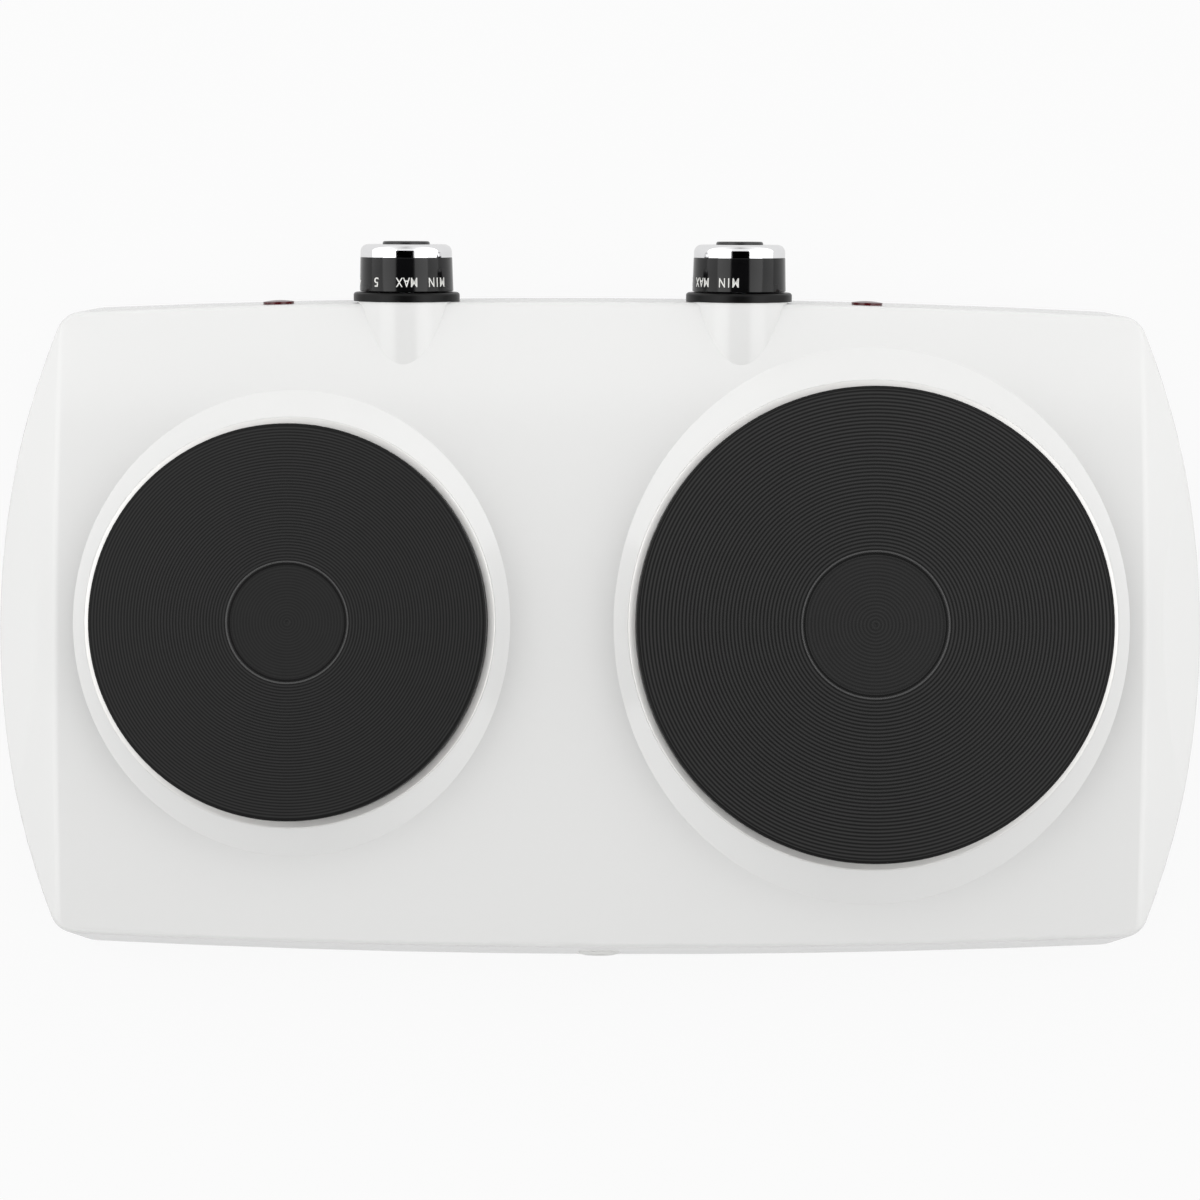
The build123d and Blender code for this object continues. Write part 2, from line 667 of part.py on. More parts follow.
for name, burner in burners.items():
    face = control_plane(burner)
    axis = Axis(face.origin, face.z_dir)
    stack_x = burner.inward * stack_reach

    # Bezel: a fixed black ring on the boss
    with BuildPart() as bezel:
        with BuildSketch(turning_plane(face)) as section:
            with Locations((bezel_hole, 0)):
                Rectangle(bezel_radius - bezel_hole, bezel_thickness, align=(Align.MIN, Align.MIN))
            fillet(corner(section, bezel_radius, bezel_thickness), bezel_edge)
        revolve(axis=axis)
    keep(bezel, f"{name}_knob_bezel")

    # Knob body: a hollow skirt with a hub for the flatted shaft
    bore = shaft_radius + shaft_clearance
    with BuildPart() as knob:
        with BuildSketch(turning_plane(face)):
            with BuildLine():
                Polyline(
                    (bore, knob_start),
                    (knob_hub, knob_start),
                    (knob_hub, knob_start + knob_cavity),
                    (knob_radius - knob_wall, knob_start + knob_cavity),
                    (knob_radius - knob_wall, knob_start),
                    (knob_radius, knob_start),
                    (knob_radius - knob_taper, knob_front),
                    (0, knob_front),
                    (0, shaft_front + shaft_clearance),
                    (bore, shaft_front + shaft_clearance),
                    close=True,
                )
            make_face()
        revolve(axis=axis)
        with BuildSketch(face.offset(knob_start)):
            Circle(bore)
            with Locations((0, shaft_radius - shaft_flat + shaft_clearance - knob_hub)):
                Rectangle(2 * knob_hub, 2 * knob_hub, mode=Mode.SUBTRACT)
        extrude(amount=shaft_seat)
    keep(knob, f"{name}_knob")

    # Cap: the bright front of the knob, with a pocket for the insert
    with BuildPart() as cap:
        with BuildSketch(turning_plane(face)) as section:
            with BuildLine():
                Polyline(
                    (0, knob_front),
                    (cap_radius, knob_front),
                    (cap_radius, cap_front),
                    (insert_radius, cap_front),
                    (insert_radius, cap_front - insert_depth),
                    (0, cap_front - insert_depth),
                    close=True,
                )
            make_face()
            fillet(corner(section, cap_radius, cap_front), cap_edge)
        revolve(axis=axis)
    keep(cap, f"{name}_knob_cap")

    # Insert: the dark disc in the end of the knob
    with BuildPart() as insert:
        with BuildSketch(turning_plane(face)) as section:
            with Locations((0, cap_front - insert_depth)):
                radius = insert_radius - insert_clearance
                Rectangle(radius, insert_depth + insert_rise, align=(Align.MIN, Align.MIN))
            fillet(corner(section, insert_radius, tip), insert_edge)
        revolve(axis=axis)
    keep(insert, f"{name}_knob_insert")

    # Shaft: turns in the bush, drives the blade at one end and carries the knob at the other
    with BuildPart() as shaft:
        with BuildSketch(face.offset(shaft_back)):
            Circle(shaft_radius)
        extrude(amount=shaft_front - shaft_back)
        with BuildSketch(face.offset(knob_start)):
            with Locations((0, shaft_radius)):
                Rectangle(2 * shaft_radius, 2 * shaft_flat)
        extrude(amount=shaft_seat, mode=Mode.SUBTRACT)
    keep(shaft, f"{name}_control_shaft")

    # Bush: carries the shaft, clamps the boss with its collar and is riveted into the frame
    with BuildPart() as bush:
        with BuildSketch(turning_plane(face)):
            with BuildLine():
                Polyline(
                    (bore, frame_back),
                    (bush_radius, frame_back),
                    (bush_radius, frame_front),
                    (bush_collar, frame_front),
                    (bush_collar, -sheet),
                    (bush_radius, -sheet),
                    (bush_radius, bush_front),
                    (bore, bush_front),
                    close=True,
                )
            make_face()
        revolve(axis=axis)
    keep(bush, f"{name}_thermostat_bush")

    # Thermostat frame: a flat steel strip behind the wall
    with BuildPart() as frame:
        with BuildSketch(face.offset(frame_back)):
            with Locations((burner.inward * (frame_reach - frame_tail) / 2, -frame_low)):
                Rectangle(frame_reach + frame_tail, frame_height)
            Circle(bush_radius + bush_clearance, mode=Mode.SUBTRACT)
            with Locations((stack_x, -frame_low)):
                Circle(stack_bore, mode=Mode.SUBTRACT)
        extrude(amount=frame_sheet)
    keep(frame, f"{name}_thermostat_frame")

    # Ceramic stack: three spacers with the blades between them
    with BuildPart() as stack:
        spacers = ((frame_back, stack_foot), (contact_front - blade_sheet, stack_spacer))
        spacers += ((bimetal_front - blade_sheet, stack_spacer),)
        for front, length in spacers:
            with BuildSketch(face.offset(front)):
                with Locations((stack_x, -frame_low)):
                    Circle(stack_radius)
                    Circle(stack_bore, mode=Mode.SUBTRACT)
            extrude(amount=-length)
    keep(stack, f"{name}_thermostat_stack")

    # Blades: sprung strips that the shaft bends, and the bimetal strip behind them
    for blade_name, front, tail in (
        ("contact_blade", contact_front, contact_tail),
        ("bimetal_blade", bimetal_front, bimetal_tail),
    ):
        with BuildPart() as blade:
            with BuildSketch(face.offset(front)):
                with Locations((burner.inward * (stack_reach + tail - blade_tip) / 2, -frame_low)):
                    Rectangle(stack_reach + tail + blade_tip, blade_width)
                with Locations((stack_x, -frame_low)):
                    Circle(stack_bore, mode=Mode.SUBTRACT)
            extrude(amount=-blade_sheet)
        keep(blade, f"{name}_{blade_name}")

    # Lamp: a red lens with a neck through the wall, and the lamp body pushed on behind
    lamp = lamp_plane(burner)
    lamp_axis = Axis(lamp.origin, lamp.z_dir)
    with BuildPart() as lens:
        with BuildSketch(turning_plane(lamp)):
            with BuildLine():
                TangentArc((0, lens_rise), (lens_radius, lens_rise - lens_dome), tangent=(1, 0))
                Polyline(
                    (lens_radius, lens_rise - lens_dome),
                    (lens_radius, 0),
                    (lens_neck, 0),
                    (lens_neck, -lens_neck_length),
                    (0, -lens_neck_length),
                    (0, lens_rise),
                )
            make_face()
        revolve(axis=lamp_axis)
    keep(lens, f"{name}_lamp_lens")

    with BuildPart() as lamp_body:
        with BuildSketch(turning_plane(lamp)):
            with BuildLine():
                Polyline(
                    (0, -lens_neck_length),
                    (lens_neck + lamp_clearance, -lens_neck_length),
                    (lens_neck + lamp_clearance, -sheet - lamp_clearance),
                    (lamp_body_radius, -sheet - lamp_clearance),
                    (lamp_body_radius, -lamp_body_length),
                    (0, -lamp_body_length),
                    close=True,
                )
            make_face()
        revolve(axis=lamp_axis)
    keep(lamp_body, f"{name}_lamp_body")

# Bush nuts and stack screws: groups of like fasteners on both thermostats
with BuildPart() as bush_nuts:
    for burner in burners.values():
        with BuildSketch(control_plane(burner)):
            RegularPolygon(bush_nut_flats / 2, 6, major_radius=False)
            Circle(bush_radius + thread_clearance, mode=Mode.SUBTRACT)
        extrude(amount=bush_nut_thickness)
keep(bush_nuts, "bush_nuts")

with BuildPart() as stack_screws:
    for burner in burners.values():
        for radius, front, length in (
            (stack_screw, frame_front, frame_front - stack_back),
            (stack_head, stack_back, stack_head_length),
        ):
            with BuildSketch(control_plane(burner).offset(front)):
                with Locations((burner.inward * stack_reach, -frame_low)):
                    Circle(radius)
            extrude(amount=-length)
keep(stack_screws, "stack_screws")

# Cord bushing: a snap-in plastic sleeve in the rear wall
with BuildPart() as cord_bushing:
    barb = bushing_neck + bushing_barb
    with BuildSketch(turning_plane(inlet_plane)):
        with BuildLine():
            Polyline(
                (bushing_bore, -bushing_length),
                (bushing_neck, -bushing_length),
                (barb, -sheet - bushing_clearance - bushing_barb_length),
                (barb, -sheet - bushing_clearance),
                (bushing_neck, -sheet - bushing_clearance),
                (bushing_neck, 0),
                (bushing_flange, 0),
                (bushing_flange, bushing_flange_length),
                (bushing_bore, bushing_flange_length),
                close=True,
            )
        make_face()
    revolve(axis=Axis(inlet_plane.origin, inlet_plane.z_dir))
keep(cord_bushing, "cord_bushing")

# Terminal block: three poles, each with a bore for the leads and a screw from above
pole_z = rim_z + pole_height
poles = [(step * pole_pitch, block_y) for step in (-1, 0, 1)]
well_z = rim_z + block_height - pole_well_depth
with BuildPart() as terminal_block:
    with BuildSketch(Plane((0, block_y, rim_z))):
        RectangleRounded(block_length, block_depth, block_edge)
    extrude(amount=block_height)
    with BuildSketch(Plane((0, block_y - block_depth / 2, pole_z), x_dir=(1, 0, 0), z_dir=(0, 1, 0))):
        with GridLocations(pole_pitch, 1, 3, 1):
            Circle(pole_bore)
    extrude(amount=block_depth, mode=Mode.SUBTRACT)
    with Locations(*[(x, y, well_z) for x, y in poles]):
        Cylinder(pole_well, pole_well_depth, align=stand, mode=Mode.SUBTRACT)
keep(terminal_block, "terminal_block")

with BuildPart() as terminal_screws:
    with Locations(*[(x, y, well_z) for x, y in poles]):
        Cylinder(pole_screw, pole_screw_length, align=stand)
keep(terminal_screws, "terminal_screws")

# Earth tag and screw on the base plate
with BuildPart() as earth_tag_piece:
    with BuildSketch(Plane((earth_offset, block_y, rim_z))):
        Circle(earth_tag)
        Circle(stack_screw + thread_clearance, mode=Mode.SUBTRACT)
    extrude(amount=earth_tag_sheet)
keep(earth_tag_piece, "earth_tag")

with BuildPart() as earth_screw:
    with Locations((earth_offset, block_y, rim_z + earth_tag_sheet)):
        Cylinder(earth_head, earth_head_length, align=stand)
        Cylinder(stack_screw, earth_tail, align=hang)
keep(earth_screw, "earth_screw")

# Leads: round wires that lie on the base plate between their ends
floor_z = rim_z + lead_floor_gap + lead_radius
front_y = block_y - block_depth / 2 - lead_end_gap


def lead(points):
    """Tube of one lead through its points, with rounded corners."""
    with BuildPart() as tube:
        with BuildLine() as route:
            FilletPolyline(*points, radius=lead_bend)
        start = route.wires()[0]
        with BuildSketch(Plane(start @ 0, z_dir=start % 0)):
            Circle(lead_radius)
        sweep()
    return tube.part


def blade_end(burner, front, tail):
    """Point below the tail of a blade, and the point on the base plate under it."""
    face = control_plane(burner)
    reach = burner.inward * (stack_reach + tail - lead_inset)
    depth = front - blade_sheet / 2
    top = face.from_local_coords(Vector(reach, -frame_low - blade_width / 2 - lead_end_gap, depth))
    fall = (top.Z - floor_z) / face.y_dir.Z
    return top, top - face.y_dir * fall


def pin_end(place):
    """Point below a terminal pin, and the point on the base plate under it."""
    x, y = place
    return Vector(x, y, pin_end_z - lead_end_gap), Vector(x, y, floor_z)


with BuildPart() as live_leads:
    for step, burner in zip((-1, 1), burners.values()):
        top, low = blade_end(burner, contact_front, contact_tail)
        x = step * lead_pair
        add(
            lead(
                [
                    (x, front_y, pole_z),
                    (x, front_y - lead_exit, pole_z),
                    (low.X, front_y - 2 * lead_exit, floor_z),
                    low,
                    top,
                ]
            )
        )
keep(live_leads, "live_leads")

with BuildPart() as switched_leads:
    for burner in burners.values():
        top, low = blade_end(burner, bimetal_front, bimetal_tail)
        pin, pin_low = pin_end(pin_places(burner)[0])
        add(lead([top, low, pin_low, pin]))
keep(switched_leads, "switched_leads")

with BuildPart() as neutral_leads:
    pole_x = -pole_pitch
    pin, pin_low = pin_end(pin_places(burners["large"])[1])
    x = pole_x - lead_pair
    add(
        lead(
            [
                (x, front_y, pole_z),
                (x, front_y - lead_exit, pole_z),
                (x - lead_exit, front_y - 2 * lead_exit, floor_z),
                pin_low,
                pin,
            ]
        )
    )
    pin, pin_low = pin_end(pin_places(burners["small"])[1])
    x = pole_x + lead_pair
    cross_y = front_y - lead_cross
    add(
        lead(
            [
                (x, front_y, pole_z),
                (x, cross_y, pole_z),
                (pole_pitch + 2 * lead_exit, cross_y - lead_exit / 2, pole_z),
                (pole_pitch + 4 * lead_exit, cross_y - lead_exit / 2, floor_z),
                pin_low,
                pin,
            ]
        )
    )
keep(neutral_leads, "neutral_leads")

with BuildPart() as earth_lead:
    tag_y = block_y - earth_tag - lead_end_gap
    add(
        lead(
            [
                (pole_pitch, front_y, pole_z),
                (pole_pitch, front_y - lead_exit, pole_z),
                (earth_offset, front_y - lead_exit, floor_z),
                (earth_offset, tag_y, floor_z),
            ]
        )
    )
keep(earth_lead, "earth_lead")
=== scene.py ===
# %% [markdown]
# # A double hot plate, seen from above
#
# The object is a low white steel housing with two cast iron plates, two black knobs with bright
# caps and two red lamps. The CAD model gives the exact solids. This lesson loads them as a fixed
# frame, replaces the pieces whose surface matters most with finer ones, and gives every piece the
# finish that the real one has.

# %% Load the frame
import json
from math import cos, pi, radians, sin, tan, tau

import bmesh
import bpy
from mathutils import Matrix, Vector


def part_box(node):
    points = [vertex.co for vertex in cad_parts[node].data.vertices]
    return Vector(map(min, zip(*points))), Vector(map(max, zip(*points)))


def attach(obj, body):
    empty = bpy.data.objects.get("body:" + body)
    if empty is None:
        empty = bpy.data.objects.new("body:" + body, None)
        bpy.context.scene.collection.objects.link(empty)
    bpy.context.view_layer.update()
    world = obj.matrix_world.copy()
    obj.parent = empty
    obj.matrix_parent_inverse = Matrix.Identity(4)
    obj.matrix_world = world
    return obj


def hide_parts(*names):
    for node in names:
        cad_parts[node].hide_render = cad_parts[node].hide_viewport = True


MM = 0.001
WELD = 0.002 * MM
NEAR = 0.01 * MM
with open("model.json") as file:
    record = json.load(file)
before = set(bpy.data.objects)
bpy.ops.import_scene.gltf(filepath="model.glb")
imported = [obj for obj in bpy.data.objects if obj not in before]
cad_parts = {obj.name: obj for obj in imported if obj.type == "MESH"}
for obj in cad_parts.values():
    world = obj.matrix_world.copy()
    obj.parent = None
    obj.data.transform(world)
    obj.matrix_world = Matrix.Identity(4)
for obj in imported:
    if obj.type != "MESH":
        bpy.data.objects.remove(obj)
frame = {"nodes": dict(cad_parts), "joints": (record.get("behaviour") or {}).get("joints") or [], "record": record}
nodes = frame["nodes"]
joints = {joint["name"]: joint for joint in frame["joints"]}
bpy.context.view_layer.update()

# %% [markdown]
# ## Helpers for finishes
#
# Colours are written as sRGB hex values, as a paint chart gives them, and Blender's shaders want
# linear values, so one function converts them. A second function adds a shader node, sets it and
# links it. A third starts a finish: what is the same all over the surface is set on the shader
# itself, and only what changes from spot to spot gets nodes of its own.


# %% Colour and node helpers
def linear(code):
    """Linear RGBA of an sRGB hex colour."""
    channels = [int(code[i : i + 2], 16) / 255 for i in (1, 3, 5)]
    return [c / 12.92 if c <= 0.04045 else ((c + 0.055) / 1.055) ** 2.4 for c in channels] + [1.0]


def add_node(tree, kind, inputs=None, feeds=None, **settings):
    """Add a node with its settings, set or link its inputs, and link its first output onwards."""
    made = tree.nodes.new(kind)
    for name, value in settings.items():
        setattr(made, name, value)
    for name, value in (inputs or {}).items():
        if isinstance(value, bpy.types.NodeSocket):
            tree.links.new(value, made.inputs[name])
        else:
            made.inputs[name].default_value = value
    if feeds:
        tree.links.new(next(output for output in made.outputs if output.enabled), feeds)
    return made.outputs


def start_finish(name, colour, roughness, **even):
    """A material with its even values set, its node tree, its shader's sockets and its places."""
    finish = bpy.data.materials.new(name)
    finish.use_nodes = True
    sockets = finish.node_tree.nodes["Principled BSDF"].inputs
    sockets["Base Color"].default_value = linear(colour)
    sockets["Roughness"].default_value = roughness
    for socket, value in even.items():
        sockets[socket.replace("_", " ")].default_value = value
    place = add_node(finish.node_tree, "ShaderNodeTexCoord")["Object"]
    return finish, finish.node_tree, sockets, place


print("white is", [round(v, 3) for v in linear("#ffffff")])

# %% [markdown]
# ## White stove enamel
#
# The housing is pressed steel with a fired, glossy white coat. The coat flows a little before it
# sets, which leaves a shallow ripple like orange peel, about 3 mm from crest to crest. To the eye
# it breaks the edges of reflections, so it is drawn as bump and not as colour. Wiping leaves
# patches a few centimetres wide that are a little duller.

# %% Enamel
ENAMEL_PATCH = 20 * MM
ENAMEL_RIPPLE = 3 * MM
RIPPLE_HEIGHT = 0.004 * MM
enamel, tree, sockets, place = start_finish("white_stove_enamel", "#e9e9e8", 0.16, IOR=1.52)
wiped = add_node(tree, "ShaderNodeTexNoise", {"Vector": place, "Scale": 1 / ENAMEL_PATCH})
gloss = {"Value": wiped["Fac"], "To Min": 0.13, "To Max": 0.20}
add_node(tree, "ShaderNodeMapRange", gloss, sockets["Roughness"])
ripple = {"Vector": place, "Scale": 1 / ENAMEL_RIPPLE, "Detail": 0.0}
ripple = add_node(tree, "ShaderNodeTexNoise", ripple)
raised = {"Height": ripple["Fac"], "Distance": RIPPLE_HEIGHT}
add_node(tree, "ShaderNodeBump", raised, sockets["Normal"])
print("made", enamel.name)

# %% [markdown]
# ## Coated cast iron
#
# The plates are grey iron, turned in a lathe and then baked with a thin black coat. The tool left
# fine rings. The coat is a little thinner and lighter on their crests, and the darker colour of
# the grooves is painted shade. The rings' colour is worked out from the distance to the middle of
# a plate, so that it stays with the turned grooves.
# A bright line along the edge of the recess is a painted highlight, and the corner inside it is
# drawn dark as painted shade. The smooth land and the rim outside the rings are dark too. The coat
# itself is dull and sandy, with grains of about half a millimetre.

# %% Cast iron
IRON_DULL = 0.50
RECESS_CALM = 0.6
# The bright line at the edge of the recess is a painted highlight, and the dark corner inside it is painted shade.
EDGE_HIGHLIGHT = 0.3 * MM
CORNER_SHADE = 0.4 * MM
CORNER_INSIDE = 1.0 * MM
CORNER_PAINTED_SHADE = "#070707"
RECESS_PAINTED_HIGHLIGHT = "#4c4c4c"
RIM_COAT = "#0b0b0b"
WORN_PATCH = 6 * MM
SAND_GRAIN = 0.5 * MM
SAND_HEIGHT = 0.02 * MM


def turned_iron(name, centre, recess, land, pitch, crest, groove):
    """Black coated iron whose rings run from its middle to its land, with a painted highlight on the edge of the
    recess and painted shade inside it.
    """
    iron, tree, sockets, place = start_finish(name, crest, IRON_DULL, IOR=1.3)
    around = {"Vector": place, "Location": (-centre.x, -centre.y, 0)}
    around = add_node(tree, "ShaderNodeMapping", around)
    flat = {0: around["Vector"], 1: (1, 1, 0)}
    flat = add_node(tree, "ShaderNodeVectorMath", flat, operation="MULTIPLY")["Vector"]
    reach = add_node(tree, "ShaderNodeVectorMath", {0: flat}, operation="LENGTH")["Value"]
    turns = {0: reach, 1: tau / pitch}
    turns = add_node(tree, "ShaderNodeMath", turns, operation="MULTIPLY")["Value"]
    wave = add_node(tree, "ShaderNodeMath", {0: turns}, operation="COSINE")["Value"]
    ridge = add_node(tree, "ShaderNodeMapRange", {"Value": wave, "From Min": -1.0})["Result"]
    # The rings in the recess were cut with a finer feed and show less.
    inside = {0: reach, 1: recess}
    inside = add_node(tree, "ShaderNodeMath", inside, operation="LESS_THAN")["Value"]
    calm = {0: inside, 1: RECESS_CALM}
    calm = add_node(tree, "ShaderNodeMath", calm, operation="MULTIPLY")["Value"]
    ridge = {"Factor": calm, "A": ridge, "B": 0.5}
    ridge = add_node(tree, "ShaderNodeMix", ridge, data_type="FLOAT")["Result"]
    # The crest colour is the thinner coat. The groove colour is painted shade in the grooves.
    coat = {"Factor": ridge, "A": linear(groove), "B": linear(crest)}
    coat = add_node(tree, "ShaderNodeMix", coat, data_type="RGBA")[2]
    # Painted shade: the corner just inside the edge of the recess is drawn darker.
    corner = {0: reach, 1: recess - CORNER_INSIDE, 2: CORNER_SHADE}
    corner = add_node(tree, "ShaderNodeMath", corner, operation="COMPARE")["Value"]
    coat = {"Factor": corner, "A": coat, "B": linear(CORNER_PAINTED_SHADE)}
    coat = add_node(tree, "ShaderNodeMix", coat, data_type="RGBA")[2]
    # Painted highlight: a bright line is drawn along the edge of the recess.
    edge = {0: reach, 1: recess, 2: EDGE_HIGHLIGHT}
    edge = add_node(tree, "ShaderNodeMath", edge, operation="COMPARE")["Value"]
    coat = {"Factor": edge, "A": coat, "B": linear(RECESS_PAINTED_HIGHLIGHT)}
    coat = add_node(tree, "ShaderNodeMix", coat, data_type="RGBA")[2]
    outside = {0: reach, 1: land}
    outside = add_node(tree, "ShaderNodeMath", outside, operation="GREATER_THAN")["Value"]
    coat = {"Factor": outside, "A": coat, "B": linear(RIM_COAT)}
    add_node(tree, "ShaderNodeMix", coat, sockets["Base Color"], data_type="RGBA")
    worn = add_node(tree, "ShaderNodeTexNoise", {"Vector": place, "Scale": 1 / WORN_PATCH})
    dull = {"Value": worn["Fac"], "To Min": IRON_DULL - 0.05, "To Max": IRON_DULL + 0.08}
    add_node(tree, "ShaderNodeMapRange", dull, sockets["Roughness"])
    sand = add_node(tree, "ShaderNodeTexNoise", {"Vector": place, "Scale": 1 / SAND_GRAIN})
    rough = {"Height": sand["Fac"], "Distance": SAND_HEIGHT, "Strength": 0.5}
    add_node(tree, "ShaderNodeBump", rough, sockets["Normal"])
    return iron


# Width of the painted highlight along the edge of the recess.
print("edge of the recess worn", 2 * EDGE_HIGHLIGHT / MM, "mm wide")

# %% [markdown]
# ## Bright metals
#
# The knob caps are plastic with a bright plating, close to a mirror, so they show the lamps, the
# gap between them and the floor. The trim rings are stainless steel with a rolled satin face, in
# which the lamps are only a soft sheen. A slow change in roughness stands for the marks of wiping.

# %% Bright metals
CHROME_PATCH = 4 * MM
STEEL_PATCH = 3 * MM
chrome, tree, sockets, place = start_finish("bright_plating", "#f2f2f3", 0.06, Metallic=1.0)
wiped = add_node(tree, "ShaderNodeTexNoise", {"Vector": place, "Scale": 1 / CHROME_PATCH})
gloss = {"Value": wiped["Fac"], "To Min": 0.03, "To Max": 0.09}
add_node(tree, "ShaderNodeMapRange", gloss, sockets["Roughness"])
stainless, tree, sockets, place = start_finish("satin_stainless", "#eae9e7", 0.5, Metallic=1.0)
wiped = add_node(tree, "ShaderNodeTexNoise", {"Vector": place, "Scale": 1 / STEEL_PATCH})
gloss = {"Value": wiped["Fac"], "To Min": 0.44, "To Max": 0.56}
add_node(tree, "ShaderNodeMapRange", gloss, sockets["Roughness"])
print("made", chrome.name, "and", stainless.name)

# %% [markdown]
# ## Plain finishes with a fine mottle
#
# Most other pieces are mouldings, platings or ceramics of one colour. What the eye still finds on
# them is a faint mottle: the skin of the mould, the crystals of a plating or the grain of a fired
# body. One function makes such a finish from two near colours, a grain size and a roughness, and
# raises the grain where it can be felt.


# %% Mottled finishes
def mottled(name, dark, light, size, roughness, height=0.0, **even):
    """A finish of two near colours in grains of a size, raised where a height is given."""
    finish, tree, sockets, place = start_finish(name, light, roughness, **even)
    grain = add_node(tree, "ShaderNodeTexNoise", {"Vector": place, "Scale": 1 / size})
    colours = {"Factor": grain["Fac"], "A": linear(dark), "B": linear(light)}
    add_node(tree, "ShaderNodeMix", colours, sockets["Base Color"], data_type="RGBA")
    gloss = {"Value": grain["Fac"], "To Min": roughness * 0.8, "To Max": roughness * 1.2}
    add_node(tree, "ShaderNodeMapRange", gloss, sockets["Roughness"])
    if height:
        raised = {"Height": grain["Fac"], "Distance": height}
        add_node(tree, "ShaderNodeBump", raised, sockets["Normal"])
    return finish


# Pressed phenolic, polished: a deep black that mirrors the lamps with slightly soft edges.
phenolic = mottled(
    "polished_black_phenolic", "#0a0a0b", "#0f0f10", 2 * MM, 0.10, 0.002 * MM, IOR=1.42
)
# The same phenolic as it leaves the mould: black, with a satin face.
satin_phenolic = mottled(
    "satin_black_phenolic", "#070707", "#0c0c0c", 0.6 * MM, 0.34, 0.004 * MM, IOR=1.3
)
# Moulded plastic with an eroded mould face: dark grey, with a dull sheen.
insert_plastic = mottled(
    "dark_moulded_insert", "#222223", "#2b2b2c", 0.4 * MM, 0.30, 0.01 * MM, IOR=1.5
)
# Pad print: thin white ink, a little uneven.
print_white = mottled("white_print", "#dededa", "#f4f4f0", 0.6 * MM, 0.45, IOR=1.5)
# Clear red plastic in front of a dark lamp: deep red with a hard gloss.
lens_red = mottled("clear_red_plastic", "#3a0b0f", "#5c1418", 2 * MM, 0.10, IOR=1.49)
# Moulded rubber: nearly black and dull, with a dusty skin.
rubber = mottled("black_rubber", "#161616", "#242424", 0.8 * MM, 0.72, 0.03 * MM, IOR=1.52)
# Zinc plated steel: pale grey with a soft metal gloss.
zinc = mottled("zinc_plated_steel", "#a2a6a8", "#c6c9ca", 1.5 * MM, 0.30, Metallic=1.0)
# Resistance alloy after its first heat: a brown grey oxide.
heater_alloy = mottled("oxidised_heater_alloy", "#3c3835", "#5d5650", 2 * MM, 0.55, Metallic=0.8)
# Pressed mineral board: chalky, with fibres.
mineral_board = mottled("pressed_mineral_board", "#b5ae9d", "#d9d3c2", 1.2 * MM, 0.90, 0.1 * MM)
# Unglazed steatite: cream white and dry.
steatite = mottled("steatite_ceramic", "#d8d4c8", "#efece2", 1.0 * MM, 0.60, 0.02 * MM, IOR=1.55)
# Rolled brass: yellow, with a soft gloss.
brass = mottled("rolled_brass", "#a88a4a", "#cfae66", 2 * MM, 0.32, Metallic=1.0)
# Moulded nylon: black or white, with a waxy half gloss.
black_nylon = mottled("black_nylon", "#151515", "#232323", 0.7 * MM, 0.48, 0.02 * MM, IOR=1.53)
white_nylon = mottled("white_nylon", "#e2e2df", "#f0f0ee", 0.7 * MM, 0.45, 0.02 * MM, IOR=1.53)
# Silicone covered leads: even colours with a dry sheen, the earth lead in green and yellow.
brown_lead = mottled("brown_silicone", "#4a2818", "#60351f", 1 * MM, 0.50, IOR=1.43)
black_lead = mottled("black_silicone", "#141414", "#232323", 1 * MM, 0.50, IOR=1.43)
blue_lead = mottled("blue_silicone", "#1d3f86", "#2a55a8", 1 * MM, 0.50, IOR=1.43)
green_lead = mottled("green_yellow_silicone", "#3f7d2a", "#c9b92c", 5 * MM, 0.50, IOR=1.43)
print("made", len(bpy.data.materials), "finishes so far")

# %% [markdown]
# ## Zinc coated sheet
#
# The base plate and the brackets inside are hot dipped steel. The coat froze in crystals about
# 9 mm across, called spangle, and each one catches the light at its own angle: some look paler
# and sharper than their neighbours.

# %% Zinc coated sheet
SPANGLE = 9 * MM
galvanised, tree, sockets, place = start_finish("galvanised_sheet", "#a9adb0", 0.42, Metallic=1.0)
spangle = add_node(tree, "ShaderNodeTexVoronoi", {"Vector": place, "Scale": 1 / SPANGLE})
tone = add_node(tree, "ShaderNodeRGBToBW", {"Color": spangle["Color"]})["Val"]
colours = {"Factor": tone, "A": linear("#94999d"), "B": linear("#bcc0c3")}
add_node(tree, "ShaderNodeMix", colours, sockets["Base Color"], data_type="RGBA")
gloss = {"Value": tone, "To Min": 0.34, "To Max": 0.52}
add_node(tree, "ShaderNodeMapRange", gloss, sockets["Roughness"])
print("made", galvanised.name)

# %% [markdown]
# ## Give the CAD nodes their finishes
#
# The record says which slot each node takes its material from, and this table gives the finish of
# each slot. A node that is replaced further on simply isn't shown.

# %% Dress the nodes
slot_finish = {
    "white_enamel": enamel,
    "bright_steel": stainless,
    "chrome": chrome,
    "black_gloss": phenolic,
    "dark_insert": insert_plastic,
    "red_lens": lens_red,
    "galvanised_steel": galvanised,
    "zinc_steel": zinc,
    "foot_rubber": rubber,
    "heater_alloy": heater_alloy,
    "mineral_board": mineral_board,
    "white_ceramic": steatite,
    "brass": brass,
    "black_nylon": black_nylon,
    "white_nylon": white_nylon,
    "brown_silicone": brown_lead,
    "black_silicone": black_lead,
    "blue_silicone": blue_lead,
    "green_silicone": green_lead,
}
node_slot = {part["node"]: part["material_slot"] for part in frame["record"]["subparts"]}


def dress(piece, material):
    """Give a piece one material."""
    piece.data.materials.clear()
    piece.data.materials.append(material)


for name, node in nodes.items():
    if node_slot[name] in slot_finish:
        dress(node, slot_finish[node_slot[name]])
print("dressed", sum(node_slot[name] in slot_finish for name in nodes), "nodes")

